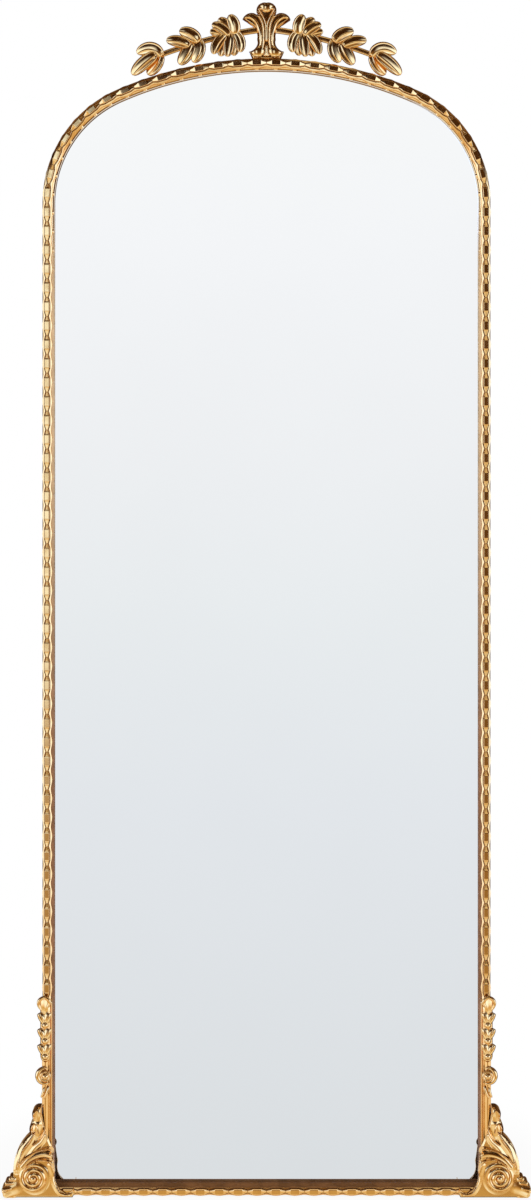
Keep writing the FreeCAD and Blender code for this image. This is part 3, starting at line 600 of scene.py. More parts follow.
def edge_fall(places, outline, reach, fall):
    """Drop towards the outline of a plate, chamfered like a cast edge."""
    closed = np.concatenate([outline, outline[:1]])
    lengths = np.linalg.norm(np.diff(closed, axis=0), axis=1)
    counts = np.maximum(np.ceil(lengths / OUTLINE_STEP), 1).astype(int)
    path = []
    for start, end, count in zip(closed, closed[1:], counts):
        path.append(np.linspace(start, end, count + 1)[:-1])
    gaps = path_gaps(places, np.concatenate(path + [closed[:1]]))[0]
    return -fall * (1 - np.clip(gaps / reach, 0, 1))


def raise_front(mesh, y_front, depth, relief, outline):
    """Move the front of a plate by the relief in its outline, fading out at a depth behind it."""
    points = mesh_points(mesh)
    share = 1 - np.clip((points[:, 1] - y_front) / depth, 0, 1)
    moved = share > 0
    points[moved, 1] -= relief(points[moved][:, (0, 2)], outline) * share[moved]
    set_mesh_points(mesh, points)


FOOT_START = (-47, 0)
FOOT_STEPS = (
    ((-50, 9), (-48.5, 16)),
    ((-44, 9), (-36.5, 7.5)),
    ((-25, 17), (-20.5, 41)),
    ((-17, 66),),
    ((-19, 72), (-15.5, 78)),
    ((-10, 91), (-5.5, 104)),
    ((-1.5, 121), (1, 138.5)),
    ((12, 135.5), (14.5, 126)),
    ((14, 122.5), (12.8, 119.5)),
    ((17.8, 111), (18, 97)),
    ((35.5, 75), (43, 45)),
    ((43.5, 32),),
    ((49, 31.5), (49.5, 26)),
    ((55, 25.5), (55.5, 19.5)),
    ((60.8, 14.5), (59.3, 7)),
    ((58, 2), (54, 0)))
VOLUTE_CENTRE = (12.2, 30.5)
VOLUTE_RADIUS = 15
VOLUTE_BAND = 7.0
VOLUTE_RISE = 3.0
VOLUTE_EYE = 3.8
VOLUTE_ENTRY = math.radians(-20)
VOLUTE_LIFT = 2.2
VOLUTE_SINK = 0.6
VOLUTE_GROWTH = (-1.0, 0.2)
EYE_RISE = 1.2
FOOT_GAP = 0.3 * MM
WING_GAP = 1.4 * MM
WING_SETBACK = 0.5 * MM
FOOT_VOXEL = 0.5 * MM
PLATE_ROUNDS = 3
RELIEF_MARGIN = 0.4 * MM
# Broad bands of a foot: knots, half widths at both ends, rises at both ends
FOOT_BANDS = (
    (((30, 47), (21, 57), (9, 64), (-5, 67), (-15, 65)), (6.0, 6.0), (2.0, 2.0)),
    (((38, 44), (35, 58), (27, 72), (17, 85), (12, 96)), (7.0, 5.0), (2.2, 2.6)),
    (((20, 62), (10, 76), (0, 86), (-6, 97)), (6.0, 4.0), (1.8, 2.4)),
    (((6, 113), (9, 104), (10, 96)), (7.5, 6.0), (2.6, 1.6)),
    (((6, 132), (7, 125), (6, 118)), (8.0, 6.0), (3.0, 1.6)),
    (((-14, 50), (-18, 36), (-20, 22), (-28, 8), (-40, 5)), (5.0, 3.0), (1.6, 1.6)),
    (((40, 16), (48, 13), (56, 9)), (9.0, 7.0), (1.0, 1.8)))
# Thin ridges that edge the bands, in the same terms
FOOT_RIDGES = (
    (((10, 101), (19, 87), (29, 73), (34, 59), (36, 48)), (1.7, 1.2), (4.4, 3.4)),
    (((-5.5, 105), (-1, 95), (6, 87), (13, 81)), (2.6, 1.6), (4.6, 3.2)),
    (((32, 53), (24, 62), (10, 71), (-4, 75)), (2.0, 1.8), (4.0, 3.8)),
    (((-2, 74), (-9, 76), (-14.5, 75), (-16, 71), (-13, 68)), (2.4, 1.8), (4.4, 3.6)),
    (((27, 43), (21, 51), (10, 58), (-4, 58.5), (-12, 55), (-18, 46), (-22, 33), (-24, 21), (-29, 12),
      (-38, 8.5), (-46, 12), (-48, 16)), (1.8, 2.0), (3.8, 3.4)),
    (((14, 98), (15.5, 107), (11, 114), (6.5, 108), (5.5, 100)), (1.8, 1.4), (3.6, 3.2)),
    (((12, 120), (12.5, 128), (7, 134.5), (2.5, 130)), (2.0, 1.6), (3.8, 3.8)),
    (((42, 28.5), (47, 28.5)), (2.6, 2.4), (1.6, 1.5)),
    (((45, 23), (53, 22.5)), (2.6, 2.4), (2.2, 2.0)),
    (((48, 15), (58, 13)), (3.0, 2.8), (3.2, 3.0)))


def darken_back(mesh, material):
    """Give the faces that look to the wall the rough dark skin of an unplated casting, its darkness painted
    shade on the unlit back.
    """
    normals = np.empty(len(mesh.polygons) * 3)
    mesh.polygons.foreach_get("normal", normals)
    mesh.materials.append(material)
    to_wall = normals[1::3] > WALL_FACING
    mesh.polygons.foreach_set("material_index", to_wall.astype(np.int32))


def add_castings(name, mesh, finishes, node):
    """Place a right-hand casting and its mirror image, gilt in front and rough behind, its back dark as
    painted shade.
    """
    gilt = satin_gilt(finishes)
    cast = shaded_back_material(finishes)
    for hand, half in (("right_", mesh), ("left_", mirrored_mesh(mesh))):
        piece = add_piece(hand + name, half, gilt, "gilt", hand + node)
        darken_back(piece.data, cast)


def foot_places(points):
    """Points given as reach from the upright's outer edge and height over the base, in millimetres."""
    return np.array(points, float) * MM + np.array([HALF_WIDTH, BASE_Z])


def volute_height(places):
    """Spiral band that rises out of the plate and winds clockwise into a domed eye."""
    offset = places / MM - np.array(VOLUTE_CENTRE)
    radius = np.linalg.norm(offset, axis=1)
    wound = ((VOLUTE_ENTRY - np.arctan2(offset[:, 1], offset[:, 0])) % (2 * math.pi)) / (2 * math.pi)
    turn = (VOLUTE_RADIUS - radius) / VOLUTE_BAND + 1 - wound
    lift = VOLUTE_LIFT * (1 - radius / (VOLUTE_RADIUS + VOLUTE_BAND))
    rise = VOLUTE_RISE * smoothstep(*VOLUTE_GROWTH, np.floor(turn) + wound)
    band = rise * rounded(turn - np.floor(turn), 0.5, 0.5) + lift - VOLUTE_SINK
    eye = VOLUTE_RISE + lift + EYE_RISE * rounded(radius, 0.0, VOLUTE_EYE)
    height = np.where(radius < VOLUTE_EYE, eye, band)
    return np.where(turn > VOLUTE_GROWTH[0], height * MM, NO_RIDGE)


def foot_relief(places, outline):
    """Bands, ridges and volute of a foot; the toe keeps a sharp rim."""
    local = places - np.array([HALF_WIDTH, BASE_Z])
    height = np.maximum(ridged(local, FOOT_GROUND, FOOT_BANDS + FOOT_RIDGES), volute_height(local))
    chamfered = 1 - smoothstep(TOE_FROM, TOE_FULL, local[:, 0])
    return height + chamfered * edge_fall(places, outline, FOOT_CHAMFER, FOOT_FALL)


def foot_mesh(sizes, lip_y):
    """Right-hand scroll foot: a relief plate on the rail and a deep wing beside it."""
    outline = foot_places(outline_points(FOOT_START, FOOT_STEPS))
    y_front = lip_y - sizes.foot_thickness
    skins = Skins()
    skins.loft(plate_rings(outline, y_front, lip_y - FOOT_GAP))
    wing = outline.copy()
    wing[:, 0] = np.maximum(wing[:, 0], HALF_WIDTH + WING_GAP)
    skins.loft(plate_rings(wing, y_front + WING_SETBACK, lip_y + sizes.foot_wing))
    mesh = fused(skins.mesh("foot"), FOOT_VOXEL, PLATE_ROUNDS)
    raise_front(mesh, y_front, sizes.foot_thickness - RELIEF_MARGIN, foot_relief, outline)
    return mesh


class MIRROR_OT_feet(Operator):
    """Build the two scroll feet"""
    bl_idname = "mirror.feet"
    bl_label = "Scroll feet"

    def execute(self, context):
        scene = context.scene
        foot = foot_mesh(scene.mirror_ornaments, scene.mirror_moulding.lips_y())
        add_castings("scroll_foot", foot, scene.mirror_finishes, "corner_scroll")
        return {'FINISHED'}


# Garlands and rosettes

GARLAND_LOW, GARLAND_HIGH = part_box("right_garland")
ROSETTE_LOW, ROSETTE_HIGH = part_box("right_rosette")
# FRONT and BACK count from the lips, ENDS is the share of a bar in each of its rounded ends, and
# SWELL gives the middle and the half length of a bump
GARLAND_MIDDLE = 338.6 * MM
CAST_VOXEL = 0.45 * MM
CAST_ROUNDS = 2
CORE_RADIUS = 8.0 * MM
CORE_FLATTEN = 0.55
CORE_BACK = 1.0 * MM
CORE_SHORT = 6 * MM
CORE_ENDS = 0.12
CORE_ROWS = 30
CORE_SIDES = 20
# Cap leaf: base, tip and half width
CAP_LEAF = ((0, 277), (2.0, 305), 7.6)
CAP_BACK = 0.5 * MM
CAP_CURL = ((1, 288), (-6, 296), (-5, 303), (2, 306), (9, 302), (10, 294), (5, 285))
CURL_RADIUS = 2.6 * MM
CURL_FRONT = 2.2 * MM
CURL_ENDS = 0.3
CURL_ROWS = 60
HUSK_HEIGHTS = (273, 249, 225)
PETAL_TIPS = ((9.0, 9.0), (-5.5, 9.5))
PETAL_DROP = 9.0
PETAL_WIDTH = 5.4
PETAL_FRONT = 1.0 * MM
PETAL_ROWS = 36
PETAL_SIDES = 32
PETAL_SWELL = (0.60, 0.61)
PETAL_POINT = 0.03
# Crown and vein of a petal's section, in half widths of the petal
CAP_SECTION = (0.62, 0.18)
PETAL_SECTION = (0.85, -0.12)
PETAL_VEIN_SPAN = 0.2
BALL_DROP = 9.0
BALL_RADIUS = 5.2 * MM
BALL_FRONT = 1.5 * MM
BALL_ROWS = 22
BALL_SIDES = 28
AXIS_HOLE = 0.02 * MM
ROSETTE_INSET = 5.6 * MM
BUTTON_ROWS = 26
BUTTON_FRONT = 3.2 * MM
BUTTON_BACK = 1.5 * MM
RIM_RISE = 2.0 * MM
RIM_SWELL = (0.80, 0.20)
BOSS_RISE = 5.0 * MM
BOSS_SWELL = (0.0, 0.62)
COLLAR_ANGLES = (-112, 108)
COLLAR_GAP = 3.4 * MM
COLLAR_RADIUS = 4.0 * MM
COLLAR_FRONT = 0.5 * MM
COLLAR_ENDS = 0.5
COLLAR_ROWS = 60
TAIL_PATHS = (((333, 170), (336, 160), (341, 150)), ((341, 168), (342, 160), (345.5, 152)))
TAIL_RADIUS = 2.4 * MM
TAIL_BACK = 0.2 * MM
TAIL_ENDS = 0.6
TAIL_ROWS = 24


def garland_places(points):
    """Points given across from the garland's middle and up from the base, in millimetres."""
    return np.array(points, float) * MM + np.array([GARLAND_MIDDLE, BASE_Z])


def petal_rings(base, tip, half_width, y, crown, vein):
    """Swollen oval petal of a garland, from base to tip, standing forward of depth y."""
    base, tip = garland_places([base, tip])
    share = np.linspace(0, 1, PETAL_ROWS)[:, None]
    side = left_of(tip - base)
    width = half_width * MM * np.maximum(rounded(share, *PETAL_SWELL), PETAL_POINT)
    turns = round_turns(PETAL_SIDES)
    spine = base + (tip - base) * share
    crease = vein * np.exp(-(np.cos(turns) / PETAL_VEIN_SPAN) ** 2) * (np.sin(turns) > 0)
    x = spine[:, :1] + np.cos(turns) * width * side[0]
    z = spine[:, 1:] + np.cos(turns) * width * side[1]
    return as_rings(x, y - (crown * np.sin(turns) + crease) * width, z)


def turned_rings(x, z, radii, depths, sides=40):
    """Rings of a turned knob about an axis along Y."""
    turns = round_turns(sides)
    reach = radii[:, None]
    return as_rings(x + reach * np.cos(turns), depths[:, None], z + reach * np.sin(turns))


def garland_mesh(lip_y):
    """Cap leaf over three husks, each of two flaring petals and a ball, on a slim core."""
    skins = Skins()
    heights = np.linspace(GARLAND_LOW.z, GARLAND_HIGH.z - CORE_SHORT, CORE_ROWS)
    core = np.stack([np.full(CORE_ROWS, GARLAND_MIDDLE), heights], axis=-1)
    skins.loft(tube_rings(core, CORE_RADIUS, CORE_ENDS, lip_y + CORE_BACK, CORE_SIDES, CORE_FLATTEN))
    skins.loft(petal_rings(*CAP_LEAF, lip_y + CAP_BACK, *CAP_SECTION))
    curl = smooth_path(garland_places(CAP_CURL), CURL_ROWS)
    skins.loft(tube_rings(curl, CURL_RADIUS, CURL_ENDS, lip_y - CURL_FRONT))
    turns = np.linspace(0, math.pi, BALL_ROWS)
    radii = BALL_RADIUS * np.sin(turns) + AXIS_HOLE
    depths = lip_y - BALL_FRONT + BALL_RADIUS * np.cos(turns)
    for height in HUSK_HEIGHTS:
        base = (0, height - PETAL_DROP)
        for reach, rise in PETAL_TIPS:
            tip = (reach, height + rise)
            skins.loft(petal_rings(base, tip, PETAL_WIDTH, lip_y - PETAL_FRONT, *PETAL_SECTION))
        middle = garland_places((0, height - BALL_DROP))
        skins.loft(turned_rings(*middle, radii, depths, BALL_SIDES))
    return fused(skins.mesh("garland"), CAST_VOXEL, CAST_ROUNDS)


def rosette_mesh(sizes, lip_y):
    """Domed button with a rolled rim, a curled leaf round its outer side and two ridges below."""
    x = HALF_WIDTH - ROSETTE_INSET
    z = (ROSETTE_LOW.z + ROSETTE_HIGH.z) / 2
    share = np.linspace(1, 0, BUTTON_ROWS)
    rise = np.maximum(RIM_RISE * rounded(share, *RIM_SWELL), BOSS_RISE * rounded(share, *BOSS_SWELL))
    radii = np.append(sizes.rosette_radius, sizes.rosette_radius * share + AXIS_HOLE)
    depths = np.append(lip_y + BUTTON_BACK, lip_y - BUTTON_FRONT - rise)
    skins = Skins()
    skins.loft(turned_rings(x, z, radii, depths))
    turns = np.radians(np.linspace(*COLLAR_ANGLES, COLLAR_ROWS))
    reach = sizes.rosette_radius + COLLAR_GAP
    collar = np.stack([x + reach * np.cos(turns), z + reach * np.sin(turns)], axis=-1)
    skins.loft(tube_rings(collar, COLLAR_RADIUS, COLLAR_ENDS, lip_y - COLLAR_FRONT))
    for knots in TAIL_PATHS:
        tail = smooth_path(np.array(knots) * MM + np.array([0, BASE_Z]), TAIL_ROWS)
        skins.loft(tube_rings(tail, TAIL_RADIUS, TAIL_ENDS, lip_y + TAIL_BACK))
    return fused(skins.mesh("rosette"), CAST_VOXEL, CAST_ROUNDS)


class MIRROR_OT_garlands(Operator):
    """Build the husk garlands and the rosettes below them"""
    bl_idname = "mirror.garlands"
    bl_label = "Garlands and rosettes"

    def execute(self, context):
        scene = context.scene
        lip_y = scene.mirror_moulding.lips_y()
        add_castings("garland_cast", garland_mesh(lip_y), scene.mirror_finishes, "garland")
        rosette = rosette_mesh(scene.mirror_ornaments, lip_y)
        add_castings("rosette_cast", rosette, scene.mirror_finishes, "rosette")
        return {'FINISHED'}


# Crest

PALMETTE_START = (0, -3)
PALMETTE_STEPS = (
    ((21.5, -2.5),),
    ((27, 10),),
    ((17, 15), (14.3, 29)),
    ((17, 44), (25, 51)),
    ((37, 59),),
    ((31, 67), (19, 69)),
    ((13, 66),),
    ((14.5, 78), (0, 84.8)))
PALMETTE_RIDGES = (
    (((33, 62), (26, 62), (18.5, 57.5), (13.3, 49.5), (10.4, 39.5), (9.6, 28), (11.6, 18), (18, 10.5)),
     (1.7, 1.9), (1.4, 1.4)),
    (((13.3, 66), (9.1, 59.5), (5.6, 51), (4.6, 41), (4.6, 28), (6.2, 16), (8, 8)), (1.2, 1.4), (1.2, 1.2)),
    (((12.3, 75), (8.3, 67.5), (3.6, 59), (1.0, 51), (0.4, 40), (0.2, 27)), (1.3, 1.5), (1.6, 1.4)),
    (((0.3, 18), (1.0, 11), (2.0, 4)), (1.2, 1.6), (1.2, 1.2)))
PALMETTE_GROUND = -1.0 * MM
PALMETTE_CHAMFER = 2.8 * MM
PALMETTE_FALL = 3.6 * MM
# Knobs of the palmette: place, radius and rise of its bulb, its lobe and its seeds
PALMETTE_KNOBS = (
    ((0, 79), 9, 3.0),
    ((13.5, 11), 10, 3.2),
    ((0, 73.5), 2.3, 2.6),
    ((4.6, 74), 2.3, 2.6),
    ((9, 75.5), 2.3, 2.6))
# Leaves of each cluster: base, tip, half width and bow to the left of the run
INNER_LEAVES = (
    ((50, 35), (58, 65), 9.0, 4.0),
    ((54, 35), (74, 60), 8.5, 3.0),
    ((57, 34), (84, 51), 8.0, 3.0),
    ((60, 33), (87, 40), 7.0, 2.0),
    ((50, 40), (41, 8), 8.0, -5.0),
    ((53, 39), (51, 3), 8.0, -3.0),
    ((56, 38), (60, 1), 8.0, 0.0),
    ((59, 37), (70, 2), 8.0, 2.0),
    ((62, 36), (81, 5), 8.0, 4.0))
MIDDLE_LEAVES = (
    ((103, 24), (134, 41), 9.6, 4.0),
    ((117, 18), (154, 27), 8.6, 3.0),
    ((103, 28), (113, -7), 9.6, -4.0),
    ((114, 24), (134, -10), 10.0, -1.5))
OUTER_LEAVES = (
    ((160, 2), (199, 7), 10.2, 9.0),
    ((163, 7), (183, -25), 10.0, -3.5),
    ((168, 5), (206, -26), 10.0, 2.5))
# Clusters: name, ends of the hub, leaves and the slope that turns their faces outward
LEAF_CLUSTERS = (
    ("inner_leaves", ((43, 38.5), (68, 33.2)), INNER_LEAVES, 0.07),
    ("middle_leaves", ((99, 26), (124, 18.5)), MIDDLE_LEAVES, 0.19),
    ("outer_leaves", ((157, 7.0), (176, 0.3)), OUTER_LEAVES, 0.30))
STEM_ARC = ((9, 44), (91, 28), (166, 3.5))
STEM_TAPER = (1.15, 0.95)
STEM_ENDS = 0.03
STEM_ROWS = 60
STEM_SIDES = 28
STEM_FLATTEN = 0.6
STEM_SQUARENESS = 0.6
HUB_RADIUS = 5.2 * MM
HUB_ENDS = 0.5
HUB_ROWS = 16
LEAF_STAND = -4.0
LEAF_LAP = 1.2


def crest_places(points):
    """Points given across from the middle and up from the crown, in millimetres."""
    return np.array(points, float) * MM + np.array([0, CROWN_Z])


def palmette_relief(places, outline):
    """Ridges and knobs of the palmette, the same on both sides of its middle."""
    local = np.stack([np.abs(places[:, 0]), places[:, 1] - CROWN_Z], axis=-1)
    height = ridged(local, PALMETTE_GROUND, PALMETTE_RIDGES)
    for place, radius, rise in PALMETTE_KNOBS:
        height = np.maximum(height, PALMETTE_GROUND + rise * MM * dome(local, place, radius))
    return height + edge_fall(places, outline, PALMETTE_CHAMFER, PALMETTE_FALL)


def dome(places, middle, radius):
    """Half-ball over a spot: 1 over its middle, 0 at its rim and beyond."""
    return rounded(np.linalg.norm(places - np.array(middle) * MM, axis=1), 0.0, radius * MM)


def palmette_mesh(sizes):
    half = outline_points(PALMETTE_START, PALMETTE_STEPS)
    left = half[-2:0:-1] * np.array([-1, 1])
    outline = crest_places(np.concatenate([half, left]))
    y_front = CREST_Y - sizes.crest_thickness / 2
    skins = Skins()
    skins.loft(plate_rings(outline, y_front, CREST_Y + sizes.crest_thickness / 2))
    mesh = fused(skins.mesh("palmette"), CAST_VOXEL, PLATE_ROUNDS)
    raise_front(mesh, y_front, sizes.crest_thickness / 2, palmette_relief, outline)
    return mesh


LEAF_ROWS = 40
LEAF_FRONT = 31
LEAF_BACK = 9
LEAF_SPREAD = 1.08
LEAF_CURL = 2.0 * MM
LEAF_POINT = 0.02
OVAL_POWER = 2.2
OVAL_LEAN = 0.9
# Section of a leaf in half widths; its rim and vein have a rise each, and a middle and half width
LEAF_CROWN = 0.34
LEAF_FALL = 0.13
LEAF_RIM_RISE = 0.11
LEAF_RIM_SPAN = (0.84, 0.16)
LEAF_VEIN_RISE = 0.09
LEAF_VEIN_SPAN = (-0.22, 0.14)
LEAF_BELLY = 0.40
EDGE_POWER = 8


def leaf_section():
    """Section of a leaf across its width: crowned front with a low rim and a vein, and a low back."""
    front_side = np.cos(np.linspace(0, math.pi, LEAF_FRONT))
    side = np.abs(front_side)
    front = LEAF_CROWN - LEAF_FALL * side ** 2 + LEAF_RIM_RISE * swell(side, *LEAF_RIM_SPAN)
    front += LEAF_VEIN_RISE * swell(front_side, *LEAF_VEIN_SPAN)
    front *= np.sqrt(np.clip(1 - side ** EDGE_POWER, 0, 1))
    back_side = np.cos(np.linspace(math.pi, 2 * math.pi, LEAF_BACK + 2)[1:-1])
    back = -LEAF_BELLY * np.sqrt(1 - back_side ** 2)
    return np.concatenate([front_side, back_side]), np.concatenate([front, back])


def leaf_rings(base, tip, half_width, bow, lean, turn):
    """Oval leaf along a bowed spine whose tip curls forward; turn slopes its face outward."""
    base, tip = crest_places([base, tip])
    share = np.linspace(0, 1, LEAF_ROWS)[:, None]
    run = tip - base
    across = left_of(run)
    spine = base + run * share + across * (bow * MM * 4 * share * (1 - share))
    side = left_of(run + across * (bow * MM * 4 * (1 - 2 * share)))
    oval = (1 - np.abs(2 * share ** OVAL_LEAN - 1) ** OVAL_POWER) ** (1 / OVAL_POWER)
    width = LEAF_SPREAD * half_width * MM * np.maximum(oval, LEAF_POINT)
    reach, height = leaf_section()
    x = spine[:, :1] + reach * width * side[:, :1]
    y = CREST_Y + lean * MM - height * width - LEAF_CURL * share ** 2
    z = spine[:, 1:] + reach * width * side[:, 1:]
    return as_rings(x, y + turn * (x - spine[:, 0].mean()), z)


def cluster_mesh(name, hub, leaves, turn, side):
    skins = Skins()
    path = smooth_path(crest_places([hub[0], np.mean(hub, axis=0), hub[1]]), HUB_ROWS)
    skins.loft(tube_rings(path, HUB_RADIUS, HUB_ENDS, CREST_Y))
    for index, (base, tip, half_width, bow) in enumerate(leaves):
        lean = LEAF_STAND + LEAF_LAP * (2 * (index % 2) - 1)
        skins.loft(leaf_rings(base, tip, half_width, bow, lean, turn))
    return skins.mesh(name, side)


def stem_mesh(sizes, side):
    path = crest_places(np.concatenate([[STEM_ARC[0]], arc_points(*STEM_ARC, STEM_ROWS)]))
    radii = sizes.stem_radius * np.linspace(*STEM_TAPER, len(path))
    skins = Skins()
    skins.loft(tube_rings(path, radii, STEM_ENDS, CREST_Y, STEM_SIDES, STEM_FLATTEN, STEM_SQUARENESS))
    return skins.mesh("stem", side)


class MIRROR_OT_crest(Operator):
    """Build the palmette, the sprig stems and their leaves"""
    bl_idname = "mirror.crest"
    bl_label = "Crest"

    def execute(self, context):
        scene = context.scene
        gilt = polished_gilt(scene.mirror_finishes)
        add_piece("palmette_cast", palmette_mesh(scene.mirror_ornaments), gilt, "gilt", "crest_palmette")
        for hand, side in (("right_", 1), ("left_", -1)):
            stem = stem_mesh(scene.mirror_ornaments, side)
            add_piece(hand + "stem_cast", stem, gilt, "gilt", hand + "sprig_stem")
            for name, hub, leaves, turn in LEAF_CLUSTERS:
                mesh = cluster_mesh(name, hub, leaves, turn, side)
                add_piece(hand + name + "_cast", mesh, gilt, "gilt", hand + name)
        return {'FINISHED'}


# Finishes

class NodeKit:
    """Short ways to add and join the nodes of one tree."""

    def __init__(self, tree):
        self.tree = tree

    def add(self, kind, **values):
        node = self.tree.nodes.new(kind)
        for name, value in values.items():
            setattr(node, name, value)
        return node

    def join(self, source, target):
        self.tree.links.new(source, target)

    def feed(self, target, value):
        """Join a socket to the target, or set the target to a plain number or colour."""
        if isinstance(value, bpy.types.NodeSocket):
            self.join(value, target)
        elif isinstance(value, (int, float)):
            target.default_value = value
        else:
            target.default_value = (*value, 1.0)

    def place(self, system):
        return self.add('ShaderNodeTexCoord').outputs[system]

    def parts(self, system):
        """X, Y and Z of a place."""
        node = self.add('ShaderNodeSeparateXYZ')
        self.join(self.place(system), node.inputs["Vector"])
        return node.outputs

    def mapped(self, source, low, high, to_low=0.0, to_high=1.0):
        """Value carried from one range to another, held inside it."""
        node = self.add('ShaderNodeMapRange', interpolation_type='SMOOTHSTEP')
        self.join(source, node.inputs["Value"])
        for name, value in (("From Min", low), ("From Max", high), ("To Min", to_low), ("To Max", to_high)):
            node.inputs[name].default_value = value
        return node.outputs["Result"]

    def worked(self, operation, first, second=0.0):
        """Sum, product or other combination of two values."""
        node = self.add('ShaderNodeMath', operation=operation)
        self.feed(node.inputs[0], first)
        self.feed(node.inputs[1], second)
        return node.outputs["Value"]

    def blended(self, share, first, second):
        """Colour between two others."""
        node = self.add('ShaderNodeMix', data_type='RGBA')
        for index, value in ((0, share), (6, first), (7, second)):
            self.feed(node.inputs[index], value)
        return node.outputs[2]

    def mixed(self, share, first, second):
        """Shader between two others."""
        node = self.add('ShaderNodeMixShader')
        for index, value in enumerate((share, first, second)):
            self.join(value, node.inputs[index])
        return node.outputs["Shader"]

    def group(self, tree, **values):
        """Place a node group with values of its own."""
        node = self.add('ShaderNodeGroup', node_tree=tree)
        for name, value in values.items():
            node.inputs[name.replace("_", " ")].default_value = value
        return node.outputs


class Surface(NodeKit):
    """New material with its Principled shader."""

    def __init__(self, name):
        self.material = bpy.data.materials.new(name)
        self.material.use_nodes = True
        super().__init__(self.material.node_tree)
        self.shader = self.tree.nodes["Principled BSDF"]

    def give(self, **values):
        """Feed inputs of the shader."""
        for name, value in values.items():
            self.feed(self.shader.inputs[name.replace("_", " ")], value)

    def bump(self, height, strength, distance):
        node = self.add('ShaderNodeBump')
        node.inputs["Strength"].default_value = strength
        node.inputs["Distance"].default_value = distance
        self.join(height, node.inputs["Height"])
        self.join(node.outputs["Normal"], self.shader.inputs["Normal"])


def new_group(name, inputs, outputs):
    group = bpy.data.node_groups.new(name, 'ShaderNodeTree')
    for label, default in inputs:
        socket = group.interface.new_socket(label, in_out='INPUT', socket_type='NodeSocketFloat')
        socket.default_value = default
    for label in outputs:
        group.interface.new_socket(label, in_out='OUTPUT', socket_type='NodeSocketFloat')
    kit = NodeKit(group)
    return group, kit, kit.add('NodeGroupInput').outputs, kit.add('NodeGroupOutput').inputs


# Range that holds most values of a noise
NOISE_RANGE = (0.3, 0.7)
NOISE_DETAIL = 4.0
PATCHY_RANGE = (0.55, 1.0)
EDGE_RANGE = (0.505, 0.57)
HOLLOW_RANGE = (0.62, 0.22)
HOLLOW_SAMPLES = 6


def grain_group():
    """Even grain: a value for tones and gloss, and a height for the bump."""
    name = "fine_grain"
    if name in bpy.data.node_groups:
        return bpy.data.node_groups[name]
    inputs = (("Tone Scale", 30.0), ("Grain Scale", 900.0), ("Stretch", 1.0))
    group, kit, given, result = new_group(name, inputs, ("Tone", "Height"))
    stretch = kit.add('ShaderNodeCombineXYZ')
    for axis, value in (("X", given["Stretch"]), ("Y", 1.0), ("Z", 1.0)):
        kit.feed(stretch.inputs[axis], value)
    scaled = kit.add('ShaderNodeVectorMath', operation='MULTIPLY')
    kit.join(kit.place("Object"), scaled.inputs[0])
    kit.join(stretch.outputs["Vector"], scaled.inputs[1])
    for scale, output in (("Tone Scale", "Tone"), ("Grain Scale", "Height")):
        noise = kit.add('ShaderNodeTexNoise')
        noise.inputs["Detail"].default_value = NOISE_DETAIL
        kit.join(scaled.outputs["Vector"], noise.inputs["Vector"])
        kit.join(given[scale], noise.inputs["Scale"])
        kit.join(noise.outputs["Fac"], result[output])
    return group


def wear_and_shade_group():
    """Masks of edges, for rubbing and painted highlights, and of occluded hollows, for toning and painted
    shade.
    """
    name = "edges_and_hollows"
    if name in bpy.data.node_groups:
        return bpy.data.node_groups[name]
    inputs = (("Reach", 0.004), ("Breakup", 60.0))
    group, kit, given, result = new_group(name, inputs, ("Edge", "Hollow"))
    noise = kit.add('ShaderNodeTexNoise')
    kit.join(kit.place("Object"), noise.inputs["Vector"])
    kit.join(given["Breakup"], noise.inputs["Scale"])
    patchy = kit.mapped(noise.outputs["Fac"], *NOISE_RANGE, *PATCHY_RANGE)
    edge = kit.mapped(kit.add('ShaderNodeNewGeometry').outputs["Pointiness"], *EDGE_RANGE)
    # Occlusion finds the hollows where the gilt and the zinc take painted shade.
    shade = kit.add('ShaderNodeAmbientOcclusion', samples=HOLLOW_SAMPLES, only_local=True)
    kit.join(given["Reach"], shade.inputs["Distance"])
    hollow_shade = kit.mapped(shade.outputs["AO"], *HOLLOW_RANGE)
    kit.join(kit.worked('MULTIPLY', edge, patchy), result["Edge"])
    kit.join(kit.worked('MULTIPLY', hollow_shade, patchy), result["Hollow"])
    return group


WARM_SHARE = np.array((0.96, 0.90, 0.80))
RUBBED_AND_HIGHLIT_GOLD = (0.95, 0.80, 0.55)
RUB_AND_HIGHLIGHT_STRENGTH = 0.18
HOLLOW_SHADE_STRENGTH = 0.70
HOLLOW_ROUGHNESS = 0.08
GILT_TONES = (0.35, 0.68)
GLOSS_TONES = (0.30, 0.75)
GLOSS_SPREAD = (-0.03, 0.07)


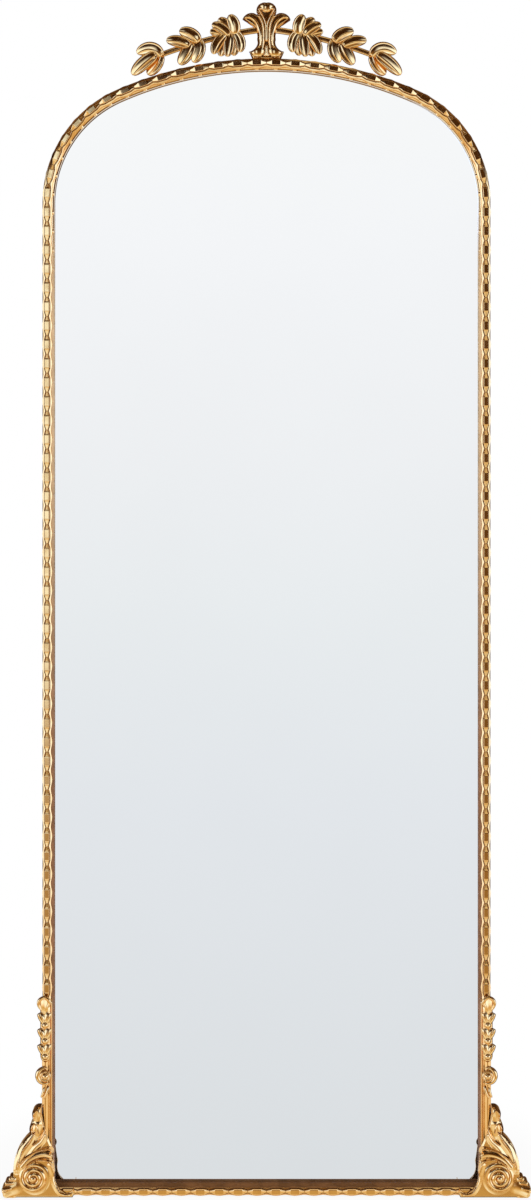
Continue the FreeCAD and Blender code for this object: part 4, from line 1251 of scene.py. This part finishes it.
def gilt_material(finishes, name, gloss):
    """Gold, umber in the hollows as toning and painted shade, brighter on the edges as rubbing and painted
    highlight.
    """
    if name in bpy.data.materials:
        return bpy.data.materials[name]
    kit = Surface(name)
    gold = np.array(finishes.gold)
    grain = kit.group(grain_group(), Tone_Scale=55.0, Grain_Scale=700.0)
    wear_and_shade = kit.group(wear_and_shade_group(), Reach=0.003, Breakup=140.0)
    base = kit.blended(kit.mapped(grain["Tone"], *GILT_TONES), gold, gold * WARM_SHARE)
    # Painted highlight: edges lean to pale gold, part rubbed gilding, part a painted glint.
    base = kit.blended(kit.worked('MULTIPLY', wear_and_shade["Edge"], RUB_AND_HIGHLIGHT_STRENGTH), base, RUBBED_AND_HIGHLIT_GOLD)
    # Painted shade: occluded hollows take umber, part toning of the gilt, part shade in the creases.
    hollow_shade = kit.worked('MULTIPLY', wear_and_shade["Hollow"], HOLLOW_SHADE_STRENGTH)
    smooth, dull = (gloss + spread for spread in GLOSS_SPREAD)
    rough = kit.mapped(grain["Tone"], *GLOSS_TONES, smooth, dull)
    rough = kit.worked('ADD', rough, kit.worked('MULTIPLY', hollow_shade, HOLLOW_ROUGHNESS))
    kit.give(Base_Color=kit.blended(hollow_shade, base, finishes.umber), Roughness=rough, Metallic=1.0)
    kit.bump(grain["Height"], strength=0.03, distance=0.3 * MM)
    return kit.material


def polished_gilt(finishes):
    return gilt_material(finishes, "gilt_polished", finishes.gold_gloss)


def satin_gilt(finishes):
    return gilt_material(finishes, "gilt_satin", finishes.satin_gloss)


def shaded_back_material(finishes):
    """Dark, rough back of a casting that the gilding did not reach, its darkness painted shade."""
    name = "cast_back"
    if name in bpy.data.materials:
        return bpy.data.materials[name]
    kit = Surface(name)
    umber = np.array(finishes.umber)
    grain = kit.group(grain_group(), Tone_Scale=70.0, Grain_Scale=500.0)
    tone = kit.mapped(grain["Tone"], *NOISE_RANGE)
    rough = kit.mapped(grain["Height"], *NOISE_RANGE, 0.55, 0.8)
    kit.give(Base_Color=kit.blended(tone, umber * 0.4, umber * 0.8), Roughness=rough)
    kit.bump(grain["Height"], strength=0.3, distance=0.5 * MM)
    return kit.material


# Heights between which the painted shade on the wall inside the uprights grows pale, and then gives way to
# gilt
PALE_RANGE = (-0.80, -0.10)
GILT_RANGE = (SPRING_Z - 0.18, SPRING_Z + 0.04)
MATT_SPECULAR = 0.05
MATT_ROUGHNESS = 0.60
MATT_SPREAD = 0.08
PATCH_GAIN = 1.5
PALE_PATCH_GAIN = 1.2


def matt_patches(kit):
    """Mask of patches for a matt surface of painted shade, with its fine grain laid on the shader."""
    grain = kit.group(grain_group(), Tone_Scale=45.0, Grain_Scale=600.0)
    kit.give(Specular_IOR_Level=MATT_SPECULAR)
    kit.bump(grain["Height"], strength=0.05, distance=0.3 * MM)
    return kit.mapped(grain["Tone"], *NOISE_RANGE)


def painted_shade_material(name, colour):
    """Matt brown painted shade in the slots of the moulding and on the wall over the bottom rail."""
    kit = Surface(name)
    tone = np.array(colour)
    patch = matt_patches(kit)
    rough = kit.mapped(patch, 0.0, 1.0, MATT_ROUGHNESS - MATT_SPREAD, MATT_ROUGHNESS + MATT_SPREAD)
    kit.give(Base_Color=kit.blended(patch, tone, tone * PATCH_GAIN), Roughness=rough)
    return kit.material


def side_sight_material(finishes):
    """Wall inside the side rails: brown painted shade at the foot, growing paler upwards, gilt where the
    arch begins.
    """
    kit = Surface("side_sight_edge")
    patch = matt_patches(kit)
    height = kit.parts("Object")["Z"]
    low = np.array(finishes.sight)
    high = np.array(finishes.upper_sight)
    foot = kit.blended(patch, low, low * PATCH_GAIN)
    head = kit.blended(patch, high, high * PALE_PATCH_GAIN)
    base = kit.blended(kit.mapped(height, *PALE_RANGE), foot, head)
    gilt = kit.mapped(height, *GILT_RANGE)
    rough = kit.mapped(gilt, 0.0, 1.0, MATT_ROUGHNESS, finishes.gold_gloss)
    kit.give(Base_Color=kit.blended(gilt, base, finishes.gold), Metallic=gilt, Roughness=rough)
    return kit.material


def silver_material(finishes):
    """Silvered plate with a breath of haze in the polish."""
    kit = Surface("silvered_plate")
    silver = np.array(finishes.silver)
    grain = kit.group(grain_group(), Tone_Scale=2.5, Grain_Scale=40.0)
    haze = kit.mapped(grain["Tone"], 0.3, 0.8)
    kit.give(Base_Color=kit.blended(haze, silver, silver * 0.985), Roughness=0.0, Metallic=1.0)
    return kit.material


def board_material(finishes):
    """Pressed fibreboard: short fibres, dark flecks and a matt face."""
    kit = Surface("pressed_board")
    board = np.array(finishes.board)
    fibres = kit.group(grain_group(), Tone_Scale=22.0, Grain_Scale=420.0, Stretch=0.35)
    wear_and_shade = kit.group(wear_and_shade_group(), Reach=0.006, Breakup=90.0)
    base = kit.blended(kit.mapped(fibres["Tone"], *NOISE_RANGE), board, board * (0.80, 0.76, 0.70))
    fleck = kit.mapped(fibres["Height"], 0.56, 0.70, 0.0, 0.55)
    base = kit.blended(fleck, base, board * (0.42, 0.38, 0.34))
    base = kit.blended(kit.worked('MULTIPLY', wear_and_shade["Edge"], 0.5), base, np.minimum(board * 1.5, 1.0))
    kit.give(Base_Color=base, Roughness=kit.mapped(fibres["Height"], *NOISE_RANGE, 0.72, 0.9))
    kit.bump(fibres["Height"], strength=0.25, distance=0.6 * MM)
    return kit.material


def zinc_material(finishes):
    """Bright zinc plate with drawn lines, hollows darkened as painted shade, and pale edges."""
    kit = Surface("zinc_plate")
    zinc = np.array(finishes.zinc)
    lines = kit.group(grain_group(), Tone_Scale=160.0, Grain_Scale=1500.0, Stretch=0.12)
    wear_and_shade = kit.group(wear_and_shade_group(), Reach=0.003, Breakup=200.0)
    base = kit.blended(kit.mapped(lines["Tone"], *NOISE_RANGE), zinc, zinc * (0.86, 0.87, 0.90))
    # Painted shade: the zinc darkens in its occluded hollows.
    base = kit.blended(wear_and_shade["Hollow"], base, zinc * 0.45)
    base = kit.blended(wear_and_shade["Edge"], base, (0.82, 0.82, 0.81))
    kit.give(Base_Color=base, Roughness=kit.mapped(lines["Tone"], *NOISE_RANGE, 0.26, 0.42), Metallic=1.0)
    kit.bump(lines["Height"], strength=0.06, distance=0.2 * MM)
    return kit.material


def rubber_material(finishes, name, grain_scale, depth):
    """Matt black rubber or foam with pores of a given size and paler edges."""
    kit = Surface(name)
    rubber = np.array(finishes.rubber)
    pores = kit.group(grain_group(), Tone_Scale=35.0, Grain_Scale=grain_scale)
    wear_and_shade = kit.group(wear_and_shade_group(), Reach=0.003, Breakup=120.0)
    base = kit.blended(kit.mapped(pores["Tone"], *NOISE_RANGE), rubber, rubber * 1.9)
    base = kit.blended(wear_and_shade["Edge"], base, rubber * 4.0)
    kit.give(Base_Color=base, Roughness=kit.mapped(pores["Height"], *NOISE_RANGE, 0.6, 0.85))
    kit.bump(pores["Height"], strength=0.3, distance=depth)
    return kit.material


class MIRROR_OT_plate(Operator):
    """Finish the mirror plate and the tape that beds it"""
    bl_idname = "mirror.plate"
    bl_label = "Mirror plate"

    def execute(self, context):
        finishes = context.scene.mirror_finishes
        dress("mirror_glass", silver_material(finishes))
        dress("rebate_tape", rubber_material(finishes, "bedding_foam", grain_scale=1400.0, depth=0.4 * MM))
        return {'FINISHED'}


ZINC_NODES = (
    "turn_plates", "turn_plate_screws", "arch_joint_plates", "corner_plates", "joint_screws",
    "ornament_screws", "rail_dowels", "crest_studs", "left_hanger_strap", "right_hanger_strap",
    "left_hanger_ring", "right_hanger_ring", "hanger_screws", "bumper_screws")


class MIRROR_OT_back(Operator):
    """Finish the back board, its plates, screws, hangers and bumpers"""
    bl_idname = "mirror.back"
    bl_label = "Back and hangers"

    def execute(self, context):
        finishes = context.scene.mirror_finishes
        dress("backboard", board_material(finishes))
        dress("wall_bumpers", rubber_material(finishes, "bumper_rubber", grain_scale=900.0, depth=0.3 * MM))
        zinc = zinc_material(finishes)
        for node in ZINC_NODES:
            dress(node, zinc)
        return {'FINISHED'}


# Stage

# Tones of the room that come up more than once
FLOOR_TONE = (0.80, 0.66, 0.44)
AMBER = (0.64, 0.51, 0.26)
HONEY = (0.86, 0.77, 0.50)
LAMPLIGHT = (1.10, 1.45, 2.10)
DUSK = (0.075, 0.038, 0.014)
DARK = (0.055, 0.027, 0.010)
WHITE = (1.0, 1.0, 1.0)
# Tones by the height of a direction, from -1 straight down to 1 straight up
CARD_TONES = (
    (-1.0, (0.70, 0.72, 0.74)), (-0.33, (0.76, 0.78, 0.80)), (-0.18, (0.82, 0.84, 0.87)),
    (-0.09, (0.87, 0.89, 0.905)), (-0.02, (0.92, 0.925, 0.94)), (0.08, (0.97, 0.97, 0.985)),
    (0.15, WHITE), (1.0, WHITE))
LEFT_TONES = (
    (-1.0, FLOOR_TONE), (-0.86, (0.90, 0.95, 0.95)), (-0.74, LAMPLIGHT), (-0.56, LAMPLIGHT), (-0.44, HONEY),
    (-0.34, AMBER), (-0.26, (0.46, 0.35, 0.19)), (-0.18, (0.48, 0.41, 0.30)), (-0.10, LAMPLIGHT),
    (0.125, (1.15, 1.60, 2.50)), (0.15, DARK), (0.38, DARK), (0.47, (0.60, 0.55, 0.42)),
    (0.58, (0.85, 0.92, 1.00)), (0.76, (1.00, 1.25, 1.70)), (0.86, DUSK), (1.0, DARK))
MIDDLE_TONES = (
    (-1.0, FLOOR_TONE), (-0.80, (0.90, 0.84, 0.62)), (-0.62, (1.06, 1.28, 1.55)), (-0.45, HONEY),
    (-0.34, AMBER), (-0.20, (0.37, 0.245, 0.11)), (-0.10, (0.27, 0.165, 0.07)),
    (0.08, (0.105, 0.056, 0.020)), (0.16, (0.044, 0.021, 0.008)), (0.45, (0.038, 0.018, 0.007)),
    (0.58, (0.21, 0.13, 0.06)), (0.72, (0.23, 0.145, 0.07)), (0.84, (0.065, 0.033, 0.012)), (1.0, DARK))
RIGHT_TONES = (
    (-1.0, FLOOR_TONE), (-0.86, (0.80, 0.74, 0.56)), (-0.78, (0.92, 1.05, 1.15)),
    (-0.66, (0.66, 0.62, 0.48)), (-0.45, (0.70, 0.62, 0.44)), (-0.34, AMBER),
    (-0.20, (0.31, 0.205, 0.09)), (-0.10, (0.135, 0.075, 0.028)), (0.08, (0.085, 0.044, 0.016)),
    (0.16, DARK), (0.38, DARK), (0.48, (0.80, 0.78, 0.66)), (0.88, (0.90, 0.90, 0.80)),
    (0.96, DUSK), (1.0, DARK))
BOX_TONE = (1.35, 1.85, 3.0)
LOW_BOX_TONE = (1.05, 0.98, 0.78)
BEHIND_TONE = (0.09, 0.046, 0.018)
FILL_TONE = (0.74, 0.74, 0.74)
# Ranges of a direction's X, Y or Z over which one part of the room gives way to another
SIDE_BEGINS = (0.05, 0.08)
SIDE_ENDS = (0.24, 0.17)
BOX_ASIDE = (0.38, 0.52)
BOX_TOP = (0.34, 0.18)
BOX_FOOT = (-0.40, -0.28)
BOX_TONE_RISE = (-0.34, -0.16)
BEHIND_BEGINS = (0.0, 0.25)
BEHIND_ENDS = (0.97, 0.85)
FLOOR_RADIUS = 6.0
FLOOR_SEGMENTS = 96
SHADE_RANGE = (0.40, 0.60, 0.90, 1.0)
FLOOR_GAP = 0.5 * MM
LAMP_SIZE = 1.4
SENSOR_HEIGHT = 36.0
LAMPS = (("left_lamp", (-2.6, -2.2, 0.6), 30.0), ("right_lamp", (2.6, -2.2, 0.2), 22.0))


def ramped(kit, height, tones):
    """Colour ramp over the height of a direction."""
    node = kit.add('ShaderNodeValToRGB')
    elements = node.color_ramp.elements
    while len(elements) < len(tones):
        elements.new(0.5)
    for element, (place, tone) in zip(elements, tones):
        element.position = (place + 1) / 2
        element.color = (*tone, 1.0)
    kit.join(kit.worked('ADD', kit.worked('MULTIPLY', height, 0.5), 0.5), node.inputs["Fac"])
    return node.outputs["Color"]


def floor_material(colour):
    """Pale floor: shaded near the mirror, running out to the white of the room."""
    material = bpy.data.materials.new("pale_floor")
    material.use_nodes = True
    material.node_tree.nodes.clear()
    kit = NodeKit(material.node_tree)
    path = kit.add('ShaderNodeLightPath').outputs
    seen = kit.worked('MAXIMUM', path["Is Camera Ray"], path["Is Glossy Ray"])
    seen = kit.worked('MAXIMUM', seen, path["Is Transmission Ray"])
    reach = kit.add('ShaderNodeVectorMath', operation='LENGTH')
    kit.join(kit.place("Object"), reach.inputs[0])
    white = kit.mapped(reach.outputs["Value"], *SHADE_RANGE)
    shaded = kit.add('ShaderNodeBsdfDiffuse')
    kit.feed(shaded.inputs["Color"], colour)
    glow = kit.add('ShaderNodeEmission')
    light = kit.mixed(kit.worked('MULTIPLY', seen, white), shaded.outputs["BSDF"], glow.outputs["Emission"])
    kit.join(light, kit.add('ShaderNodeOutputMaterial').inputs["Surface"])
    return material


def add_floor(stage):
    shape = bmesh.new()
    bmesh.ops.create_circle(shape, cap_ends=True, segments=FLOOR_SEGMENTS, radius=FLOOR_RADIUS)
    mesh = bpy.data.meshes.new("floor")
    shape.to_mesh(mesh)
    shape.free()
    mesh.materials.append(floor_material(stage.floor))
    floor = bpy.data.objects.new("floor", mesh)
    floor.location = (0, 0, BASE_Z - FLOOR_GAP)
    floor.visible_glossy = False
    bpy.context.scene.collection.objects.link(floor)


def room_light(kit):
    """What the gilding shows: a room in bands of warm and dark tones, with bright boxes at the sides."""
    part = kit.parts("Generated")
    light = ramped(kit, part["Z"], MIDDLE_TONES)
    for side, tones in ((-1, LEFT_TONES), (1, RIGHT_TONES)):
        begins = kit.mapped(part["X"], side * SIDE_BEGINS[0], side * SIDE_BEGINS[1])
        ends = kit.mapped(part["X"], side * SIDE_ENDS[0], side * SIDE_ENDS[1])
        light = kit.blended(kit.worked('MULTIPLY', begins, ends), light, ramped(kit, part["Z"], tones))
    boxes = kit.worked('MULTIPLY', kit.mapped(part["Z"], *BOX_TOP), kit.mapped(part["Z"], *BOX_FOOT))
    aside = kit.worked('ABSOLUTE', part["X"])
    boxes = kit.worked('MULTIPLY', boxes, kit.mapped(aside, *BOX_ASIDE))
    tone = kit.blended(kit.mapped(part["Z"], *BOX_TONE_RISE), LOW_BOX_TONE, BOX_TONE)
    light = kit.blended(boxes, light, tone)
    behind = kit.mapped(part["Y"], *BEHIND_BEGINS)
    behind = kit.worked('MULTIPLY', behind, kit.mapped(part["Y"], *BEHIND_ENDS))
    return kit.blended(behind, light, BEHIND_TONE)


def backdrop(kit, tone):
    node = kit.add('ShaderNodeBackground')
    kit.feed(node.inputs["Color"], tone)
    return node.outputs["Background"]


def add_room():
    """Even fill light, the room in the gilding, a tall pale card in the plate, and white behind it all."""
    world = bpy.data.worlds.new("studio")
    world.use_nodes = True
    bpy.context.scene.world = world
    world.node_tree.nodes.clear()
    kit = NodeKit(world.node_tree)
    path = kit.add('ShaderNodeLightPath').outputs
    card = ramped(kit, kit.parts("Generated")["Z"], CARD_TONES)
    seen = kit.worked('MAXIMUM', path["Is Camera Ray"], path["Is Transmission Ray"])
    light = backdrop(kit, FILL_TONE)
    light = kit.mixed(path["Is Glossy Ray"], light, backdrop(kit, room_light(kit)))
    light = kit.mixed(path["Is Singular Ray"], light, backdrop(kit, card))
    light = kit.mixed(seen, light, backdrop(kit, WHITE))
    kit.join(light, kit.add('ShaderNodeOutputWorld').inputs["Surface"])


def add_lamp(name, place, aim, power):
    data = bpy.data.lights.new(name, 'AREA')
    data.size = LAMP_SIZE
    data.energy = power
    lamp = bpy.data.objects.new(name, data)
    lamp.location = place
    lamp.rotation_euler = (Vector(aim) - Vector(place)).to_track_quat('-Z', 'Y').to_euler()
    lamp.visible_glossy = False
    bpy.context.scene.collection.objects.link(lamp)


def add_camera(stage, lip_y):
    data = bpy.data.cameras.new("camera")
    data.sensor_fit = 'VERTICAL'
    data.sensor_height = SENSOR_HEIGHT
    data.lens = data.sensor_height * stage.camera_distance / stage.view_height
    camera = bpy.data.objects.new("camera", data)
    data.shift_y = (stage.view_middle[1] - stage.camera_height) / stage.view_height
    camera.location = (stage.view_middle[0], lip_y - stage.camera_distance, BASE_Z + stage.camera_height)
    camera.rotation_euler = (math.pi / 2, 0, 0)
    bpy.context.scene.collection.objects.link(camera)
    bpy.context.scene.camera = camera


class MIRROR_OT_stage(Operator):
    """Set up the floor, the room light, the lamps and the camera"""
    bl_idname = "mirror.stage"
    bl_label = "Stage"

    def execute(self, context):
        scene = context.scene
        stage = scene.mirror_stage
        scene.view_settings.view_transform = 'Standard'
        add_floor(stage)
        add_room()
        middle = (0, 0, (BASE_Z + CROWN_Z) / 2)
        for name, place, power in LAMPS:
            add_lamp(name, place, middle, power)
        add_camera(stage, scene.mirror_moulding.lips_y())
        return {'FINISHED'}


# Add-on

class MIRROR_PT_panel(Panel):
    """Pieces of the mirror and their sizes"""
    bl_idname = "MIRROR_PT_panel"
    bl_label = "Gilt wall mirror"
    bl_space_type = 'VIEW_3D'
    bl_region_type = 'UI'
    bl_category = "Mirror"

    def draw(self, context):
        column = self.layout.column()
        for operator in OPERATORS:
            column.operator(operator.bl_idname)
        for name in SETTINGS:
            settings = getattr(context.scene, name)
            box = self.layout.box()
            for prop in settings.__annotations__:
                box.prop(settings, prop)


SETTINGS = {
    "mirror_moulding": MouldingSizes,
    "mirror_ornaments": OrnamentSizes,
    "mirror_finishes": Finishes,
    "mirror_stage": StageSettings,
}
OPERATORS = (MIRROR_OT_moulding, MIRROR_OT_feet, MIRROR_OT_garlands, MIRROR_OT_crest, MIRROR_OT_plate,
             MIRROR_OT_back, MIRROR_OT_stage)


def register():
    for group in SETTINGS.values():
        bpy.utils.register_class(group)
    for name, group in SETTINGS.items():
        setattr(bpy.types.Scene, name, PointerProperty(type=group))
    for operator in OPERATORS:
        bpy.utils.register_class(operator)
    bpy.utils.register_class(MIRROR_PT_panel)


def unregister():
    bpy.utils.unregister_class(MIRROR_PT_panel)
    for operator in reversed(OPERATORS):
        bpy.utils.unregister_class(operator)
    for name, group in SETTINGS.items():
        delattr(bpy.types.Scene, name)
        bpy.utils.unregister_class(group)


def main():
    register()
    bpy.ops.mirror.moulding()
    bpy.ops.mirror.feet()
    bpy.ops.mirror.garlands()
    bpy.ops.mirror.crest()
    bpy.ops.mirror.plate()
    bpy.ops.mirror.back()
    bpy.ops.mirror.stage()


if __name__ == "__main__":
    main()
